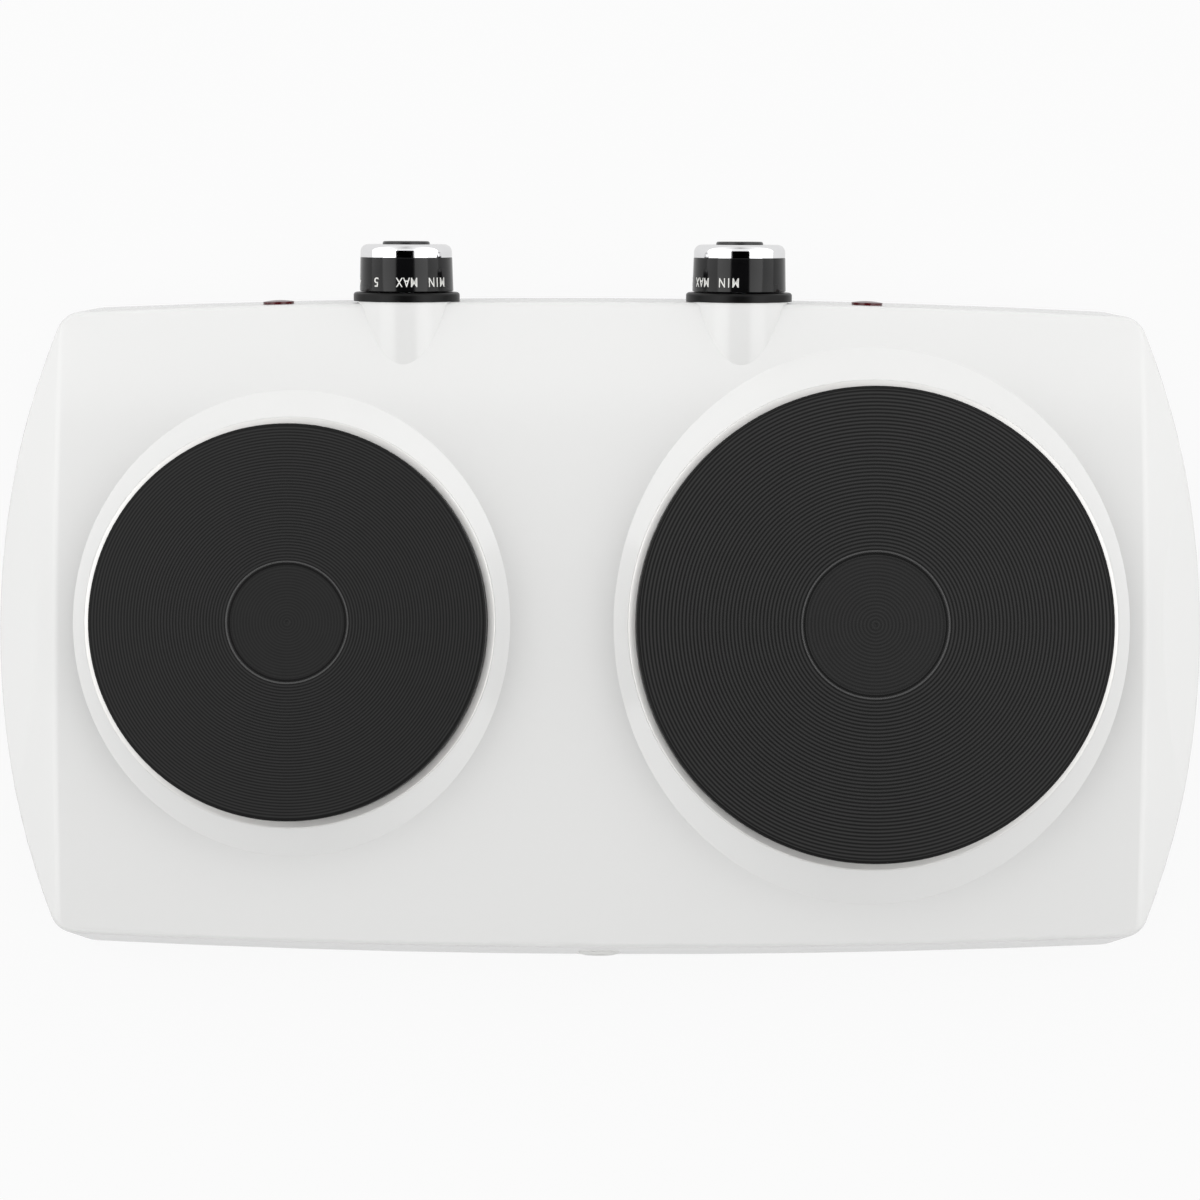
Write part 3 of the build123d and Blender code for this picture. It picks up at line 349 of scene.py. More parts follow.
# %% [markdown]
# ## Smooth copies of the pressed and moulded pieces
#
# A CAD node arrives as loose triangles with flat shading. A copy of it, with its doubles merged
# and its faces shaded smooth up to a sharp angle, shows the soft bends of the pressing as they are.
# The copy stands for the node and stays exactly where the node is.

# %% Smooth copies
SHARP = radians(28)


def place_piece(bm, name, material, body, *replaced):
    """Turn a bmesh into a piece of the object that rides on a body and stands for CAD nodes."""
    for face in bm.faces:
        face.smooth = True
    for edge in bm.edges:
        edge.smooth = edge.smooth and edge.calc_face_angle(0) < SHARP
    mesh = bpy.data.meshes.new(name)
    bm.to_mesh(mesh)
    bm.free()
    piece = bpy.data.objects.new(name, mesh)
    bpy.context.scene.collection.objects.link(piece)
    dress(piece, material)
    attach(piece, body)
    if replaced:
        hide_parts(*replaced)
    return piece


def merged_copy(node):
    """A bmesh of a CAD node with its loose triangles joined."""
    bm = bmesh.new()
    bm.from_mesh(nodes[node].data)
    bmesh.ops.remove_doubles(bm, verts=bm.verts, dist=WELD)
    return bm


def smooth_copy(node, body, material, refine=None):
    """A smooth shaded copy of a CAD node, in its place."""
    bm = merged_copy(node)
    if refine:
        refine(bm)
    piece = place_piece(bm, f"{node}_smooth", material, body, node)
    keep_flats = piece.modifiers.new("flat_faces_keep_their_normals", "WEIGHTED_NORMAL")
    keep_flats.keep_sharp = True
    return piece


feet = [f"foot_{end}_{side}" for end in ("front", "rear") for side in ("left", "right")]
smooth_nodes = {foot: rubber for foot in feet}
for size in ("large", "small"):
    smooth_nodes[f"{size}_knob_bezel"] = satin_phenolic
    smooth_nodes[f"{size}_lamp_lens"] = lens_red
for name, finish in smooth_nodes.items():
    copy = smooth_copy(name, "body", finish)
    print(copy.name, len(copy.data.polygons), "faces")

# %% [markdown]
# ## Housing
#
# The top of the housing is an arched panel with a sloping wing at each end. In the CAD mesh it is
# a fan of long triangles, whose shading would show as streaks. Cutting them on a grid and setting
# the new points on the true arch gives every spot its right slope. The fold where a knob boss
# grows out of the panel is shallow, so its edges are marked sharp by where they are.

# %% Housing
ARCH_RADIUS = 725.0 * MM
COLLAR_HEIGHT = 5.0 * MM
WING_REACH = 33.2 * MM
WING_SLOPE = radians(22)
CREASE_BEND = 2.5 * MM
PANEL_CUT = 9.0 * MM
PANEL_TOLERANCE = 0.15 * MM
PANEL_WELD = 0.001 * MM
BOSS_RADIUS = 19.25 * MM
BOSS_TOLERANCE = 0.05 * MM
housing_low, housing_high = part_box("housing")
housing_middle = (housing_low + housing_high) / 2
crease_x = housing_high.x - WING_REACH
crown_z = housing_high.z - COLLAR_HEIGHT


def panel_height(place):
    """Height of the arched panel or a wing at a place, or nothing near their crease."""
    beyond = abs(place.x) - crease_x
    if abs(beyond) < CREASE_BEND:
        return None
    across = place.y - housing_middle.y
    arch = crown_z - ARCH_RADIUS + (ARCH_RADIUS**2 - across**2) ** 0.5
    return arch - max(beyond, 0) * tan(WING_SLOPE)


def on_panel(vert):
    """True for a point that lies on the panel or a wing."""
    height = panel_height(vert.co)
    return height is not None and abs(vert.co.z - height) < PANEL_TOLERANCE


def on_boss(vert):
    """True for a point on the barrel of one of the two knob bosses."""
    for joint in joints.values():
        axis = Vector(joint["axis"])
        offset = vert.co - Vector(joint["pos_m"])
        if abs((offset - axis * offset.dot(axis)).length - BOSS_RADIUS) < BOSS_TOLERANCE:
            return True
    return False


def true_panel(bm):
    """Cut the panel on a grid, set its points on the arch and mark the folds of the bosses."""
    top = [face for face in bm.faces if all(on_panel(vert) for vert in face.verts)]
    parts = list({item for face in top for item in (face, *face.edges, *face.verts)})
    for axis, reach in ((Vector((1, 0, 0)), housing_high.x), (Vector((0, 1, 0)), housing_high.y)):
        cuts = int(reach / PANEL_CUT)
        for step in range(-cuts, cuts + 1):
            place = housing_middle + axis * step * PANEL_CUT
            parts = bmesh.ops.bisect_plane(
                bm, geom=parts, dist=PANEL_WELD, plane_co=place, plane_no=axis
            )["geom"]
    for vert in bm.verts:
        if on_panel(vert):
            vert.co.z = panel_height(vert.co)
    for edge in bm.edges:
        if all(on_boss(vert) and on_panel(vert) for vert in edge.verts):
            edge.smooth = False


housing = smooth_copy("housing", "body", enamel, true_panel)
print(housing.name, len(housing.data.polygons), "faces")

# %% [markdown]
# ## Turned pieces
#
# Plates, trim rings and knobs are all round. Each starts as half of its section, a chain of edges
# beside the axis, which the spin operator sweeps once around. Corners that are rounded on the real
# piece are bevelled after the spin, because then the bevel makes true round edges.


# %% Spin helper
def chain(bm, section):
    """Edges along a half section of (radius, height) points in millimetres."""
    first = [bm.verts.new((radius * MM, 0, height * MM)) for radius, height in section]
    return [bm.edges.new(pair) for pair in zip(first, first[1:])]


def sweep_round(bm, steps):
    """Spin the whole section around the Z axis and close it."""
    bmesh.ops.spin(
        bm,
        geom=bm.verts[:] + bm.edges[:],
        cent=(0, 0, 0),
        axis=(0, 0, 1),
        angle=tau,
        steps=steps,
        use_merge=True,
    )
    bmesh.ops.remove_doubles(bm, verts=bm.verts, dist=WELD)
    bmesh.ops.recalc_face_normals(bm, faces=bm.faces)


def turned(section, steps):
    """A bmesh spun from a half section, which may close on itself."""
    bm = bmesh.new()
    chain(bm, section)
    bmesh.ops.remove_doubles(bm, verts=bm.verts, dist=WELD)
    sweep_round(bm, steps)
    return bm


def round_corner(bm, radius, height, size, segments=4):
    """Bevel the ring of edges at one corner of the section."""

    def on_ring(vert):
        aside = abs(vert.co.xy.length - radius * MM)
        return aside < NEAR and abs(vert.co.z - height * MM) < NEAR

    ring = [edge for edge in bm.edges if all(on_ring(vert) for vert in edge.verts)]
    bmesh.ops.bevel(
        bm, geom=ring, offset=size * MM, segments=segments, profile=0.5, affect="EDGES", material=-1
    )


def seat_on(place, out):
    """Matrix from a turned piece's own axes to the frame: Z along out, X to the right."""
    out = Vector(out).normalized()
    right = Vector((1, 0, 0))
    turn = Matrix((right, out.cross(right), out)).transposed().to_4x4()
    return Matrix.Translation(Vector(place)) @ turn


print("pieces are spun with doubles merged")

# %% [markdown]
# ## Plates
#
# Each plate is one casting: a thick disc with a shallow recess, a rim that stands on the trim ring
# and a skirt below. The cooking face is turned in V shaped grooves. The face's edge is cut into as
# many runs as there are grooves, and every second point is lowered, before the section is spun. A
# small pit in the middle is left from the lathe's centre.

# %% Plate section
PLATE_STEPS = 160
RECESS_DEPTH = 0.8
RIM_HEIGHT = 8.2
RIM_OVERHANG = 4.5
SKIRT_WALL = 5.0
SKIRT_DEPTH = 13.8
FACE_THICKNESS = 8.0
HUB_RADIUS = 9.0
HUB_DROP = 3.0
EDGE_LAND = 1.3
PIT_RADIUS = 0.8
PIT_DEPTH = 0.4
RIM_ROUND = 1.0


def groove_face(bm, edge, rings, depth):
    """Cut a radial edge of the section into V shaped grooves."""
    inner = min(vert.co.x for vert in edge.verts)
    height = edge.verts[0].co.z
    run = edge.calc_length() / (2 * rings)
    cut = bmesh.ops.subdivide_edges(bm, edges=[edge], cuts=2 * rings - 1)
    for vert in (item for item in cut["geom_inner"] if isinstance(item, bmesh.types.BMVert)):
        if round((vert.co.x - inner) / run) % 2:
            vert.co.z = height - depth * MM


def plate_section(bm, radius, top, recess, pitch, depth):
    """Half section of one casting with its grooves, ready to spin."""
    floor_height = top - RECESS_DEPTH
    inner_rings = int((recess - 2 * RECESS_DEPTH) / pitch)
    outer_rings = int((radius - EDGE_LAND - recess) / pitch + 0.01)
    skirt = radius - RIM_OVERHANG
    skirt_low = top - RIM_HEIGHT - SKIRT_DEPTH
    section = chain(
        bm,
        [
            (0, floor_height - PIT_DEPTH),
            (PIT_RADIUS, floor_height),
            (pitch, floor_height),
            (inner_rings * pitch, floor_height),
            (recess - RECESS_DEPTH, floor_height),
            (recess, top),
            (recess + outer_rings * pitch, top),
            (radius, top),
            (radius, top - RIM_HEIGHT),
            (skirt, top - RIM_HEIGHT),
            (skirt, skirt_low),
            (skirt - SKIRT_WALL, skirt_low),
            (skirt - SKIRT_WALL, top - FACE_THICKNESS),
            (HUB_RADIUS, top - FACE_THICKNESS),
            (HUB_RADIUS, skirt_low - HUB_DROP),
            (0, skirt_low - HUB_DROP),
        ],
    )
    groove_face(bm, section[2], inner_rings - 1, depth / 2)
    groove_face(bm, section[5], outer_rings, depth)
    return inner_rings + outer_rings


print("recess", RECESS_DEPTH, "mm deep")


# %% Plates
def make_plate(size, recess, pitch, depth, crest, groove):
    """One casting with its turned face."""
    low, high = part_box(f"{size}_plate")
    centre = (low + high) / 2
    radius = (high.x - low.x) / 2 / MM
    bm = bmesh.new()
    rings = plate_section(bm, radius, high.z / MM, recess, pitch, depth)
    sweep_round(bm, PLATE_STEPS)
    round_corner(bm, radius, high.z / MM, RIM_ROUND)
    bmesh.ops.translate(bm, verts=bm.verts, vec=(centre.x, centre.y, 0))
    name = f"{size}_plate_black_cast_iron"
    land = radius - EDGE_LAND
    iron = turned_iron(name, centre, recess * MM, land * MM, pitch * MM, crest, groove)
    print(size, "plate with", rings, "rings")
    return place_piece(bm, f"{size}_plate_turned", iron, "body", f"{size}_plate")


# Each plate's crest colour is its coat, and its groove colour is darkened as painted shade.
for size, recess, pitch, depth, crest, groove in (
    ("large", 28.5, 1.425, 0.12, "#323232", "#060606"),
    ("small", 23.5, 1.175, 0.06, "#2c2c2c", "#0f0f0f"),
):
    plate = make_plate(size, recess, pitch, depth, crest, groove)
    print(plate.name, len(plate.data.polygons), "faces")

# %% [markdown]
# ## Trim rings
#
# A trim ring is a flat steel ring under the rim of a plate. Its edge stands up close to the plate
# and slopes down outwards, so that what boils over runs off. Only that slope shows. It is part of
# the section that is spun, and bevels round its two edges.

# %% Trim rings
RING_SHEET = 0.8
SLOPE_HIGH = 1.2
SLOPE_LOW = 0.8
SLOPE_ROUND = 0.4
CREST_ROUND = 0.2
PLATE_GAP = 0.15
SKIRT_GAP = 0.3


def make_trim_ring(size):
    """A flat ring with a sloping edge."""
    low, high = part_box(f"{size}_trim_ring")
    centre = (low + high) / 2
    outer = (high.x - low.x) / 2 / MM
    plate_radius = (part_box(f"{size}_plate")[1].x - centre.x) / MM
    inner = plate_radius - RIM_OVERHANG + SKIRT_GAP
    rim = plate_radius + PLATE_GAP
    base = low.z / MM
    section = [
        (inner, base),
        (outer, base),
        (outer, base + SLOPE_LOW),
        (rim, base + SLOPE_HIGH),
        (rim, base + RING_SHEET),
        (inner, base + RING_SHEET),
        (inner, base),
    ]
    bm = turned(section, PLATE_STEPS)
    round_corner(bm, outer, base + SLOPE_LOW, SLOPE_ROUND)
    round_corner(bm, rim, base + SLOPE_HIGH, CREST_ROUND)
    bmesh.ops.translate(bm, verts=bm.verts, vec=(centre.x, centre.y, 0))
    return place_piece(bm, f"{size}_trim_ring_sloped", stainless, "body", f"{size}_trim_ring")


for size in ("large", "small"):
    print(make_trim_ring(size).name)

# %% [markdown]
# ## Knobs
#
# A knob is a black skirt with a bright cap and a dark insert in its end. They are modelled around
# the Z axis and then seated on the joint's axis, which leans back with the front wall.

# %% Knob sections
KNOB_STEPS = 128
KNOB_START = 3.9
KNOB_FRONT = 17.3
CAP_FRONT = 22.4
KNOB_BASE_RADIUS = 18.75
KNOB_FRONT_RADIUS = 18.35
CAP_RADIUS = 18.25
INSERT_RADIUS = 9.4
INSERT_RISE = 1.2
KNOB_WALL = 2.2
KNOB_CAVITY = 9.0
KNOB_HUB = 6.5
BORE = 3.05
SKIRT_ROUND = 0.4
FRONT_ROUND = 0.3
CAP_ROUND = 3.0
CAP_SEAT = 1.5
CAP_CHAMFER = 0.5
INSERT_PLAY = 0.1
INSERT_LAND = 1.6
INSERT_DISH = 0.5
INSERT_ROUND = 0.8


def knob_skirt():
    """The hollow black body of a knob."""
    section = [
        (BORE, KNOB_START),
        (KNOB_HUB, KNOB_START),
        (KNOB_HUB, KNOB_START + KNOB_CAVITY),
        (KNOB_BASE_RADIUS - KNOB_WALL, KNOB_START + KNOB_CAVITY),
        (KNOB_BASE_RADIUS - KNOB_WALL, KNOB_START),
        (KNOB_BASE_RADIUS, KNOB_START),
        (KNOB_FRONT_RADIUS, KNOB_FRONT),
        (BORE, KNOB_FRONT),
        (BORE, KNOB_START),
    ]
    bm = turned(section, KNOB_STEPS)
    round_corner(bm, KNOB_BASE_RADIUS, KNOB_START, SKIRT_ROUND, 3)
    round_corner(bm, KNOB_FRONT_RADIUS, KNOB_FRONT, FRONT_ROUND, 3)
    return bm


def knob_cap():
    """The bright cap, with a chamfered seat for the insert."""
    seat_radius = INSERT_RADIUS + INSERT_PLAY
    section = [
        (0, KNOB_FRONT),
        (CAP_RADIUS, KNOB_FRONT),
        (CAP_RADIUS, CAP_FRONT),
        (seat_radius + CAP_CHAMFER, CAP_FRONT),
        (seat_radius, CAP_FRONT - CAP_CHAMFER),
        (seat_radius, CAP_FRONT - CAP_SEAT),
        (0, CAP_FRONT - CAP_SEAT),
    ]
    bm = turned(section, KNOB_STEPS)
    round_corner(bm, CAP_RADIUS, CAP_FRONT, CAP_ROUND, 10)
    return bm


def knob_insert():
    """The dished insert in the end of the cap."""
    front = CAP_FRONT + INSERT_RISE
    section = [
        (0, CAP_FRONT - CAP_SEAT),
        (INSERT_RADIUS, CAP_FRONT - CAP_SEAT),
        (INSERT_RADIUS, front),
        (INSERT_RADIUS - INSERT_LAND, front),
        (0, front - INSERT_DISH),
    ]
    bm = turned(section, KNOB_STEPS)
    round_corner(bm, INSERT_RADIUS, front, INSERT_ROUND, 5)
    return bm


print("knobs are spun in", KNOB_STEPS, "steps")


# %% Knobs
def knob_seat(size):
    """Matrix that seats a knob on its joint, facing out of the front wall."""
    joint = joints[f"{size}_knob_turn"]
    return seat_on(joint["pos_m"], -Vector(joint["axis"]))


def make_knob(size):
    """Skirt, cap and insert of one knob, seated on its joint."""
    made = []
    for word, bm, material in (
        ("knob", knob_skirt(), phenolic),
        ("knob_cap", knob_cap(), chrome),
        ("knob_insert", knob_insert(), insert_plastic),
    ):
        bmesh.ops.transform(bm, matrix=knob_seat(size), verts=bm.verts)
        body = f"{size}_knob_assembly"
        made.append(place_piece(bm, f"{size}_{word}_turned", material, body, f"{size}_{word}"))
    return made


for size in ("large", "small"):
    print([piece.name for piece in make_knob(size)])

# %% [markdown]
# ## Knob bosses
#
# Behind each knob the housing is drawn out to half a barrel that runs into the panel. The CAD
# barrel has room for the bezel's edge and is a little slim, and the pressed one is as wide as the
# bezel hides. So a thin sleeve is spun around the knob's axis, and a plane just under the panel
# cuts off what would hang in the housing. The cut is closed with a face.

# %% Knob bosses
BOSS_SKIN = 20.9
BOSS_REACH = 36.0
BOSS_SINK = 2.5 * MM
BEZEL_GAP = 0.02
SKIN_OVERLAP = 0.1


def make_boss(size):
    """The skin of one boss, cut off under the panel."""
    inner = BOSS_RADIUS / MM - SKIN_OVERLAP
    seat = knob_seat(size)
    section = [
        (inner, -BEZEL_GAP),
        (BOSS_SKIN, -BEZEL_GAP),
        (BOSS_SKIN, -BOSS_REACH),
        (inner, -BOSS_REACH),
        (inner, -BEZEL_GAP),
    ]
    bm = turned(section, KNOB_STEPS)
    bmesh.ops.transform(bm, matrix=seat, verts=bm.verts)
    near = seat.translation.copy()
    far = seat @ Vector((0, 0, -BOSS_REACH * MM))
    for place in (near, far):
        place.z = panel_height(place) - BOSS_SINK
    everything = bm.verts[:] + bm.edges[:] + bm.faces[:]
    up = Vector((1, 0, 0)).cross(far - near)
    bmesh.ops.bisect_plane(bm, geom=everything, plane_co=near, plane_no=up, clear_inner=True)
    bmesh.ops.edgeloop_fill(bm, edges=[edge for edge in bm.edges if edge.is_boundary])
    bmesh.ops.recalc_face_normals(bm, faces=bm.faces)
    boss = place_piece(bm, f"{size}_boss_skin", enamel, "body")
    return boss


for size in ("large", "small"):
    boss = make_boss(size)
    print(boss.name, len(boss.data.polygons), "faces")

# %% [markdown]
# ## Cord bushing
#
# The bushing in the rear wall is a snap-in nylon sleeve. Its flange is domed, so that a hand along
# the wall meets no edge, and behind the wall a barb holds it.

# %% Cord bushing
BUSHING_STEPS = 64
BUSHING_LENGTH = 9.0
NECK_RADIUS = 6.4
BARB_RADIUS = 7.2
BARB_START = 1.15
BARB_END = 3.65
FLANGE_RADIUS = 8.6
FLANGE_EDGE = 0.4
FLANGE_EDGE_ROUND = 0.3
DOME_RADIUS = 5.4
DOME_HEIGHT = 1.2
DOME_ROUND = 0.5
inlet = next(mount for mount in frame["record"]["mounts"] if mount["name"] == "cord_inlet")
bore = inlet["dims"]["r_mm"]
section = [
    (bore, -BUSHING_LENGTH),
    (NECK_RADIUS, -BUSHING_LENGTH),
    (BARB_RADIUS, -BARB_END),
    (BARB_RADIUS, -BARB_START),
    (NECK_RADIUS, -BARB_START),
    (NECK_RADIUS, 0.0),
    (FLANGE_RADIUS, 0.0),
    (FLANGE_RADIUS, FLANGE_EDGE),
    (DOME_RADIUS, DOME_HEIGHT),
    (bore, DOME_HEIGHT),
    (bore, -BUSHING_LENGTH),
]
bushing = turned(section, BUSHING_STEPS)
round_corner(bushing, FLANGE_RADIUS, FLANGE_EDGE, FLANGE_EDGE_ROUND, 3)
round_corner(bushing, DOME_RADIUS, DOME_HEIGHT, DOME_ROUND, 3)
round_corner(bushing, bore, DOME_HEIGHT, DOME_ROUND, 3)
bmesh.ops.transform(bushing, matrix=seat_on(inlet["pos_m"], inlet["axis"]), verts=bushing.verts)
print(place_piece(bushing, "cord_bushing_domed", white_nylon, "body", "cord_bushing").name)

# %% [markdown]
# ## Base screws
#
# The base plate is held by pan head screws with a cross recess. One screw is spun in sixteen
# steps, so that four of its sectors and the middle can be sunk as the cross. Its copies go where
# the CAD screws are, which the box around them tells.

# %% Base screws
SCREW_STEPS = 16
SCREW_HEAD = 3.6
HEAD_LENGTH = 2.2
HEAD_ROUND = 0.9
THREAD_RADIUS = 1.45
THREAD_LENGTH = 4.7
TIP_RADIUS = 0.9
TIP_LENGTH = 5.5
CROSS_MIDDLE = 0.45
CROSS_REACH = 1.9
CROSS_DEPTH = 1.2
SCREW_PITCH = 150.0 * MM


def in_cross(face):
    """True for the faces of the head's end that the cross recess takes."""
    middle = face.calc_center_median()
    if abs(middle.z + HEAD_LENGTH * MM) > NEAR or middle.xy.length > CROSS_REACH * MM:
        return False
    sector = int(Vector((1, 0)).angle_signed(middle.xy) % tau / tau * SCREW_STEPS)
    return len(face.verts) == 3 or sector % 4 == 0


section = [
    (0, TIP_LENGTH),
    (TIP_RADIUS, TIP_LENGTH),
    (THREAD_RADIUS, THREAD_LENGTH),
    (THREAD_RADIUS, 0),
    (SCREW_HEAD, 0),
    (SCREW_HEAD, -HEAD_LENGTH),
    (CROSS_REACH, -HEAD_LENGTH),
    (CROSS_MIDDLE, -HEAD_LENGTH),
    (0, -HEAD_LENGTH),
]
screw = turned(section, SCREW_STEPS)
cross = [face for face in screw.faces if in_cross(face)]
sunk = bmesh.ops.extrude_face_region(screw, geom=cross)["geom"]
bmesh.ops.delete(screw, geom=[face for face in cross if face.is_valid], context="FACES_ONLY")
sunk = [item for item in sunk if isinstance(item, bmesh.types.BMVert)]
bmesh.ops.translate(screw, verts=sunk, vec=(0, 0, CROSS_DEPTH * MM))
round_corner(screw, SCREW_HEAD, -HEAD_LENGTH, HEAD_ROUND, 3)
bmesh.ops.recalc_face_normals(screw, faces=screw.faces)
one_screw = bpy.data.meshes.new("one_screw")
screw.to_mesh(one_screw)
screw.free()
low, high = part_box("base_screws")
edge = SCREW_HEAD * MM
places = [(side * (high.x - edge), (low.y + high.y) / 2) for side in (-1, 1)]
places += [(x * SCREW_PITCH, y) for x in (-1, 0, 1) for y in (low.y + edge, high.y - edge)]
screws = bmesh.new()
for x, y in places:
    before = len(screws.verts)
    screws.from_mesh(one_screw)
    screws.verts.ensure_lookup_table()
    bmesh.ops.translate(screws, verts=screws.verts[before:], vec=(x, y, low.z + HEAD_LENGTH * MM))
bpy.data.meshes.remove(one_screw)
print(place_piece(screws, "base_screws_pan_head", zinc, "body", "base_screws").name, len(places))

# %% [markdown]
# ## Dial marks
#
# The skirt carries the heat marks in white: MIN, the numbers, MAX. They stand upright for the
# person in front, so their tops point back to the housing. One mark takes a ninth of the turn.
# Turning a knob to the right brings higher numbers to the top. Each mark is text made a mesh, cut
# in narrow strips so that it follows the skirt when it is bent around it.

# %% Dial marks
MARK_HEIGHT = 3.6
CAPITAL_SHARE = 0.69
MARK_PITCH = 40.0
MARK_MIDDLE = 7.7
MARK_BOLD = 0.03
WORD_WIDTH = 0.74
WIDE_SPACING = 1.4
PLAIN_SPACING = 1.1
PRINT_THICKNESS = 0.05
PRINT_LIFT = 0.04
MARK_CUT = 0.4
MARK_CUTS = 18
SMALL_MIN = -45.0
LARGE_MIN = 16.0
dial = {"MIN": 0, "1": 3, "2": 4, "3": 5, "4": 6, "5": 7, "MAX": 8}


def flat_word(word):
    """A word as a flat mesh in millimetres, centred, and cut in strips that can be bent."""
    text = bpy.data.curves.new(word, "FONT")
    text.body = word
    text.align_x = "CENTER"
    text.size = MARK_HEIGHT / CAPITAL_SHARE
    text.space_character = WIDE_SPACING if word == "MIN" else PLAIN_SPACING
    text.extrude = PRINT_THICKNESS
    text.offset = MARK_BOLD
    holder = bpy.data.objects.new(word, text)
    bpy.context.scene.collection.objects.link(holder)
    bpy.context.view_layer.update()
    mesh = bpy.data.meshes.new_from_object(holder)
    bpy.data.objects.remove(holder)
    bm = bmesh.new()
    bm.from_mesh(mesh)
    for step in range(-MARK_CUTS, MARK_CUTS + 1):
        everything = bm.verts[:] + bm.edges[:] + bm.faces[:]
        place = (step * MARK_CUT, 0, 0)
        bmesh.ops.bisect_plane(bm, geom=everything, plane_co=place, plane_no=(1, 0, 0))
    bm.to_mesh(mesh)
    bm.free()
    return mesh


def print_marks(size, first_angle):
    """All the marks of one knob, wrapped around its skirt."""
    bm = bmesh.new()
    for word, step in dial.items():
        before = len(bm.verts)
        bm.from_mesh(flat_word(word))
        bm.verts.ensure_lookup_table()
        angle = radians(first_angle - step * MARK_PITCH)
        for vert in bm.verts[before:]:
            across, up, lift = vert.co
            across *= WORD_WIDTH if len(word) > 1 else 1.0
            height = MARK_MIDDLE + MARK_HEIGHT / 2 - up
            share = (height - KNOB_START) / (KNOB_FRONT - KNOB_START)
            skirt = KNOB_BASE_RADIUS + share * (KNOB_FRONT_RADIUS - KNOB_BASE_RADIUS)
            turn = angle + across / skirt
            reach = (skirt + PRINT_LIFT + lift) * MM
            vert.co = (reach * sin(turn), reach * cos(turn), height * MM)
    bmesh.ops.recalc_face_normals(bm, faces=bm.faces)
    bmesh.ops.transform(bm, matrix=knob_seat(size), verts=bm.verts)
    marks = place_piece(bm, f"{size}_knob_marks", print_white, f"{size}_knob_assembly")
    return marks


for size, first_angle in (("large", LARGE_MIN), ("small", SMALL_MIN)):
    print(print_marks(size, first_angle).name)

# %% [markdown]
# ## Floor, light and camera
#
# The photograph is a plain studio shot from straight above. Two large soft lamps hang left and
# right of the camera, and the dark gap between them shows as a black line in the bright caps. The
# floor is white paper, which the camera sees a little lighter than its own shade, so that only a
# soft shadow is left on it.

# %% Floor
FLOOR_REACH = 6.0
FLOOR_GLOW = 0.92
MIRRORED_GLOW = 0.6
floor_bm = bmesh.new()
bmesh.ops.create_grid(floor_bm, x_segments=1, y_segments=1, size=FLOOR_REACH)
floor_mesh = bpy.data.meshes.new("paper_floor")
floor_bm.to_mesh(floor_mesh)
floor_bm.free()
floor = bpy.data.objects.new("paper_floor", floor_mesh)
bpy.context.scene.collection.objects.link(floor)
paper, tree, sockets, place = start_finish("white_paper", "#c8c8c8", 0.9)
ray = add_node(tree, "ShaderNodeLightPath")
mirrored = {0: ray["Is Glossy Ray"], 1: ray["Is Transmission Ray"]}
mirrored = add_node(tree, "ShaderNodeMath", mirrored, operation="MAXIMUM")
mirrored = {0: mirrored["Value"], 1: MIRRORED_GLOW}
mirrored = add_node(tree, "ShaderNodeMath", mirrored, operation="MULTIPLY")
seen = {0: ray["Is Camera Ray"], 1: mirrored["Value"]}
seen = add_node(tree, "ShaderNodeMath", seen, operation="MAXIMUM")
share = add_node(tree, "ShaderNodeMath", {0: seen["Value"], 1: FLOOR_GLOW}, operation="MULTIPLY")
glow = add_node(tree, "ShaderNodeEmission", {"Color": linear("#ffffff"), "Strength": 1.0})
lit = tree.nodes["Principled BSDF"].outputs["BSDF"]
surface = tree.nodes["Material Output"].inputs["Surface"]
add_node(tree, "ShaderNodeMixShader", {0: share["Value"], 1: lit, 2: glow["Emission"]}, surface)
dress(floor, paper)
print("floor of", paper.name)

# %% Lamps
SOFTBOX_POWER = 6.8
SOFTBOX_SIZE = (1.8, 1.1)
SOFTBOX_ASIDE = 1.15
SOFTBOX_AHEAD = -0.1
SOFTBOX_HEIGHT = 1.4
FILL_POWER = 1.1
FILL_SIZE = (0.9, 0.4)
FILL_PLACE = (0.0, -0.50, 0.68)


def hang_lamp(name, place, size, power):
    """A rectangular lamp that faces the object."""
    lamp_data = bpy.data.lights.new(name, "AREA")
    lamp_data.shape = "RECTANGLE"
    lamp_data.size, lamp_data.size_y = size
    lamp_data.energy = power
    lamp = bpy.data.objects.new(name, lamp_data)
    lamp.location = place
    lamp.rotation_euler = lamp.location.to_track_quat("Z", "Y").to_euler()
    bpy.context.scene.collection.objects.link(lamp)


for name, side in (("softbox_left", -1), ("softbox_right", 1)):
    softbox_place = (side * SOFTBOX_ASIDE, SOFTBOX_AHEAD, SOFTBOX_HEIGHT)
    hang_lamp(name, softbox_place, SOFTBOX_SIZE, SOFTBOX_POWER)
# A small lamp in front fills the shade on the front wall and the knobs.
hang_lamp("front_fill", FILL_PLACE, FILL_SIZE, FILL_POWER)
print("two softboxes of", SOFTBOX_POWER, "W and a fill of", FILL_POWER, "W")

# %% [markdown]
# ## The room around it
#
# The walls of the studio are pale, brighter in front of the object than behind it, and the ceiling
# between the two lamps is dark. The camera itself sees plain white instead of the room.

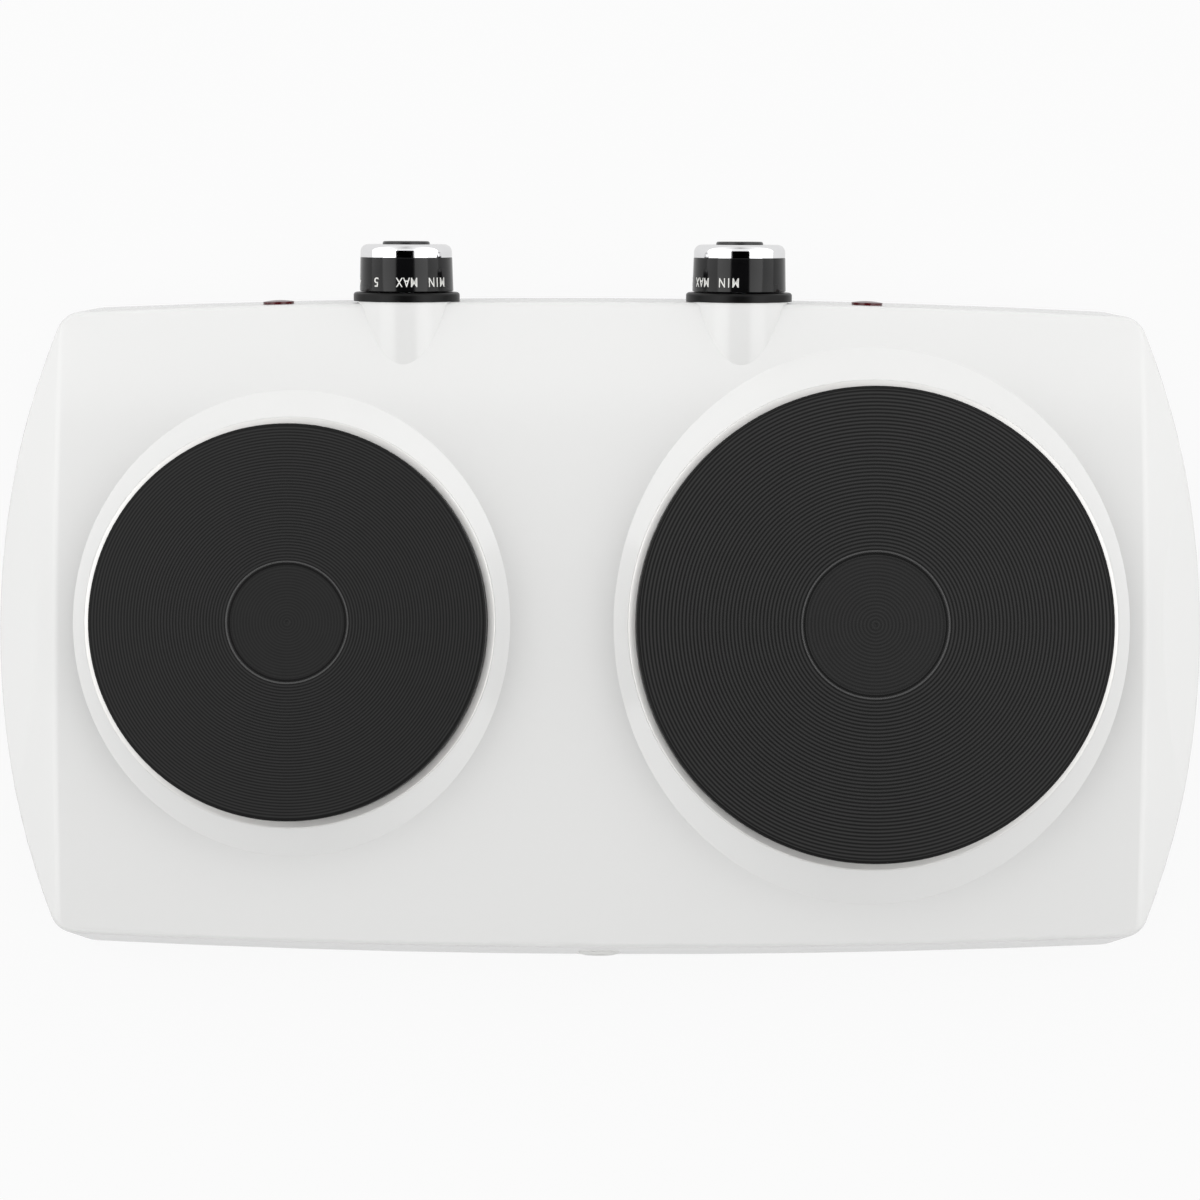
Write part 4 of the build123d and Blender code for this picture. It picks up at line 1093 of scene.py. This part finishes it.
# %% Room
WALLS_SIDES = 1.35
WALLS_FRONT = 0.65
WALLS_REAR = 0.47
GAP_EDGE = (0.36, 0.42)
GAP_FOOT = (0.60, 0.75)
world = bpy.data.worlds.new("studio")
world.use_nodes = True
bpy.context.scene.world = world
backdrop = world.node_tree.nodes["Background"]
backdrop.inputs["Color"].default_value = linear("#ffffff")
sky = world.node_tree
toward = add_node(sky, "ShaderNodeTexCoord")["Generated"]
axes = add_node(sky, "ShaderNodeSeparateXYZ", {"Vector": toward})
sideways = add_node(sky, "ShaderNodeMath", {0: axes["X"]}, operation="ABSOLUTE")["Value"]
walls = {0: sideways, 1: WALLS_SIDES}
walls = add_node(sky, "ShaderNodeMath", walls, operation="MULTIPLY")["Value"]
for limit, level in ((-1.0, WALLS_FRONT), (1.0, WALLS_REAR)):
    facing = {"Value": axes["Y"], "From Max": limit, "To Max": level}
    facing = add_node(sky, "ShaderNodeMapRange", facing)["Result"]
    walls = add_node(sky, "ShaderNodeMath", {0: walls, 1: facing}, operation="ADD")["Value"]
beside = {"Value": sideways, "From Min": GAP_EDGE[0], "From Max": GAP_EDGE[1]}
beside = add_node(sky, "ShaderNodeMapRange", beside)["Result"]
below = {"Value": axes["Z"], "From Min": GAP_FOOT[0], "From Max": GAP_FOOT[1]}
below |= {"To Min": 1.0, "To Max": 0.0}
below = add_node(sky, "ShaderNodeMapRange", below)["Result"]
pale = add_node(sky, "ShaderNodeMath", {0: beside, 1: below}, operation="MAXIMUM")["Value"]
room = add_node(sky, "ShaderNodeMath", {0: walls, 1: pale}, operation="MULTIPLY")["Value"]
sight = add_node(sky, "ShaderNodeLightPath")["Is Camera Ray"]
level = {"Factor": sight, "A": room, "B": 1.0}
add_node(sky, "ShaderNodeMix", level, backdrop.inputs["Strength"], data_type="FLOAT")
print("pale walls, dark ceiling")

# %% Camera
FOCAL_PIXELS = 2331.0
IMAGE_PIXELS = 1200.0
SHIFT_PIXELS = 55.0
SENSOR = 36.0
CAMERA_PLACE = (0.0, 0.0214, 0.984)
ROLL = radians(0.25)
camera_data = bpy.data.cameras.new("camera")
camera_data.sensor_width = SENSOR
camera_data.lens = FOCAL_PIXELS / IMAGE_PIXELS * SENSOR
camera_data.shift_y = SHIFT_PIXELS / IMAGE_PIXELS
camera = bpy.data.objects.new("camera", camera_data)
camera.location = CAMERA_PLACE
camera.rotation_euler = (0, 0, pi + ROLL)
bpy.context.scene.collection.objects.link(camera)
bpy.context.scene.camera = camera
bpy.context.scene.view_settings.view_transform = "Standard"
print("camera lens", round(camera_data.lens, 2), "mm")
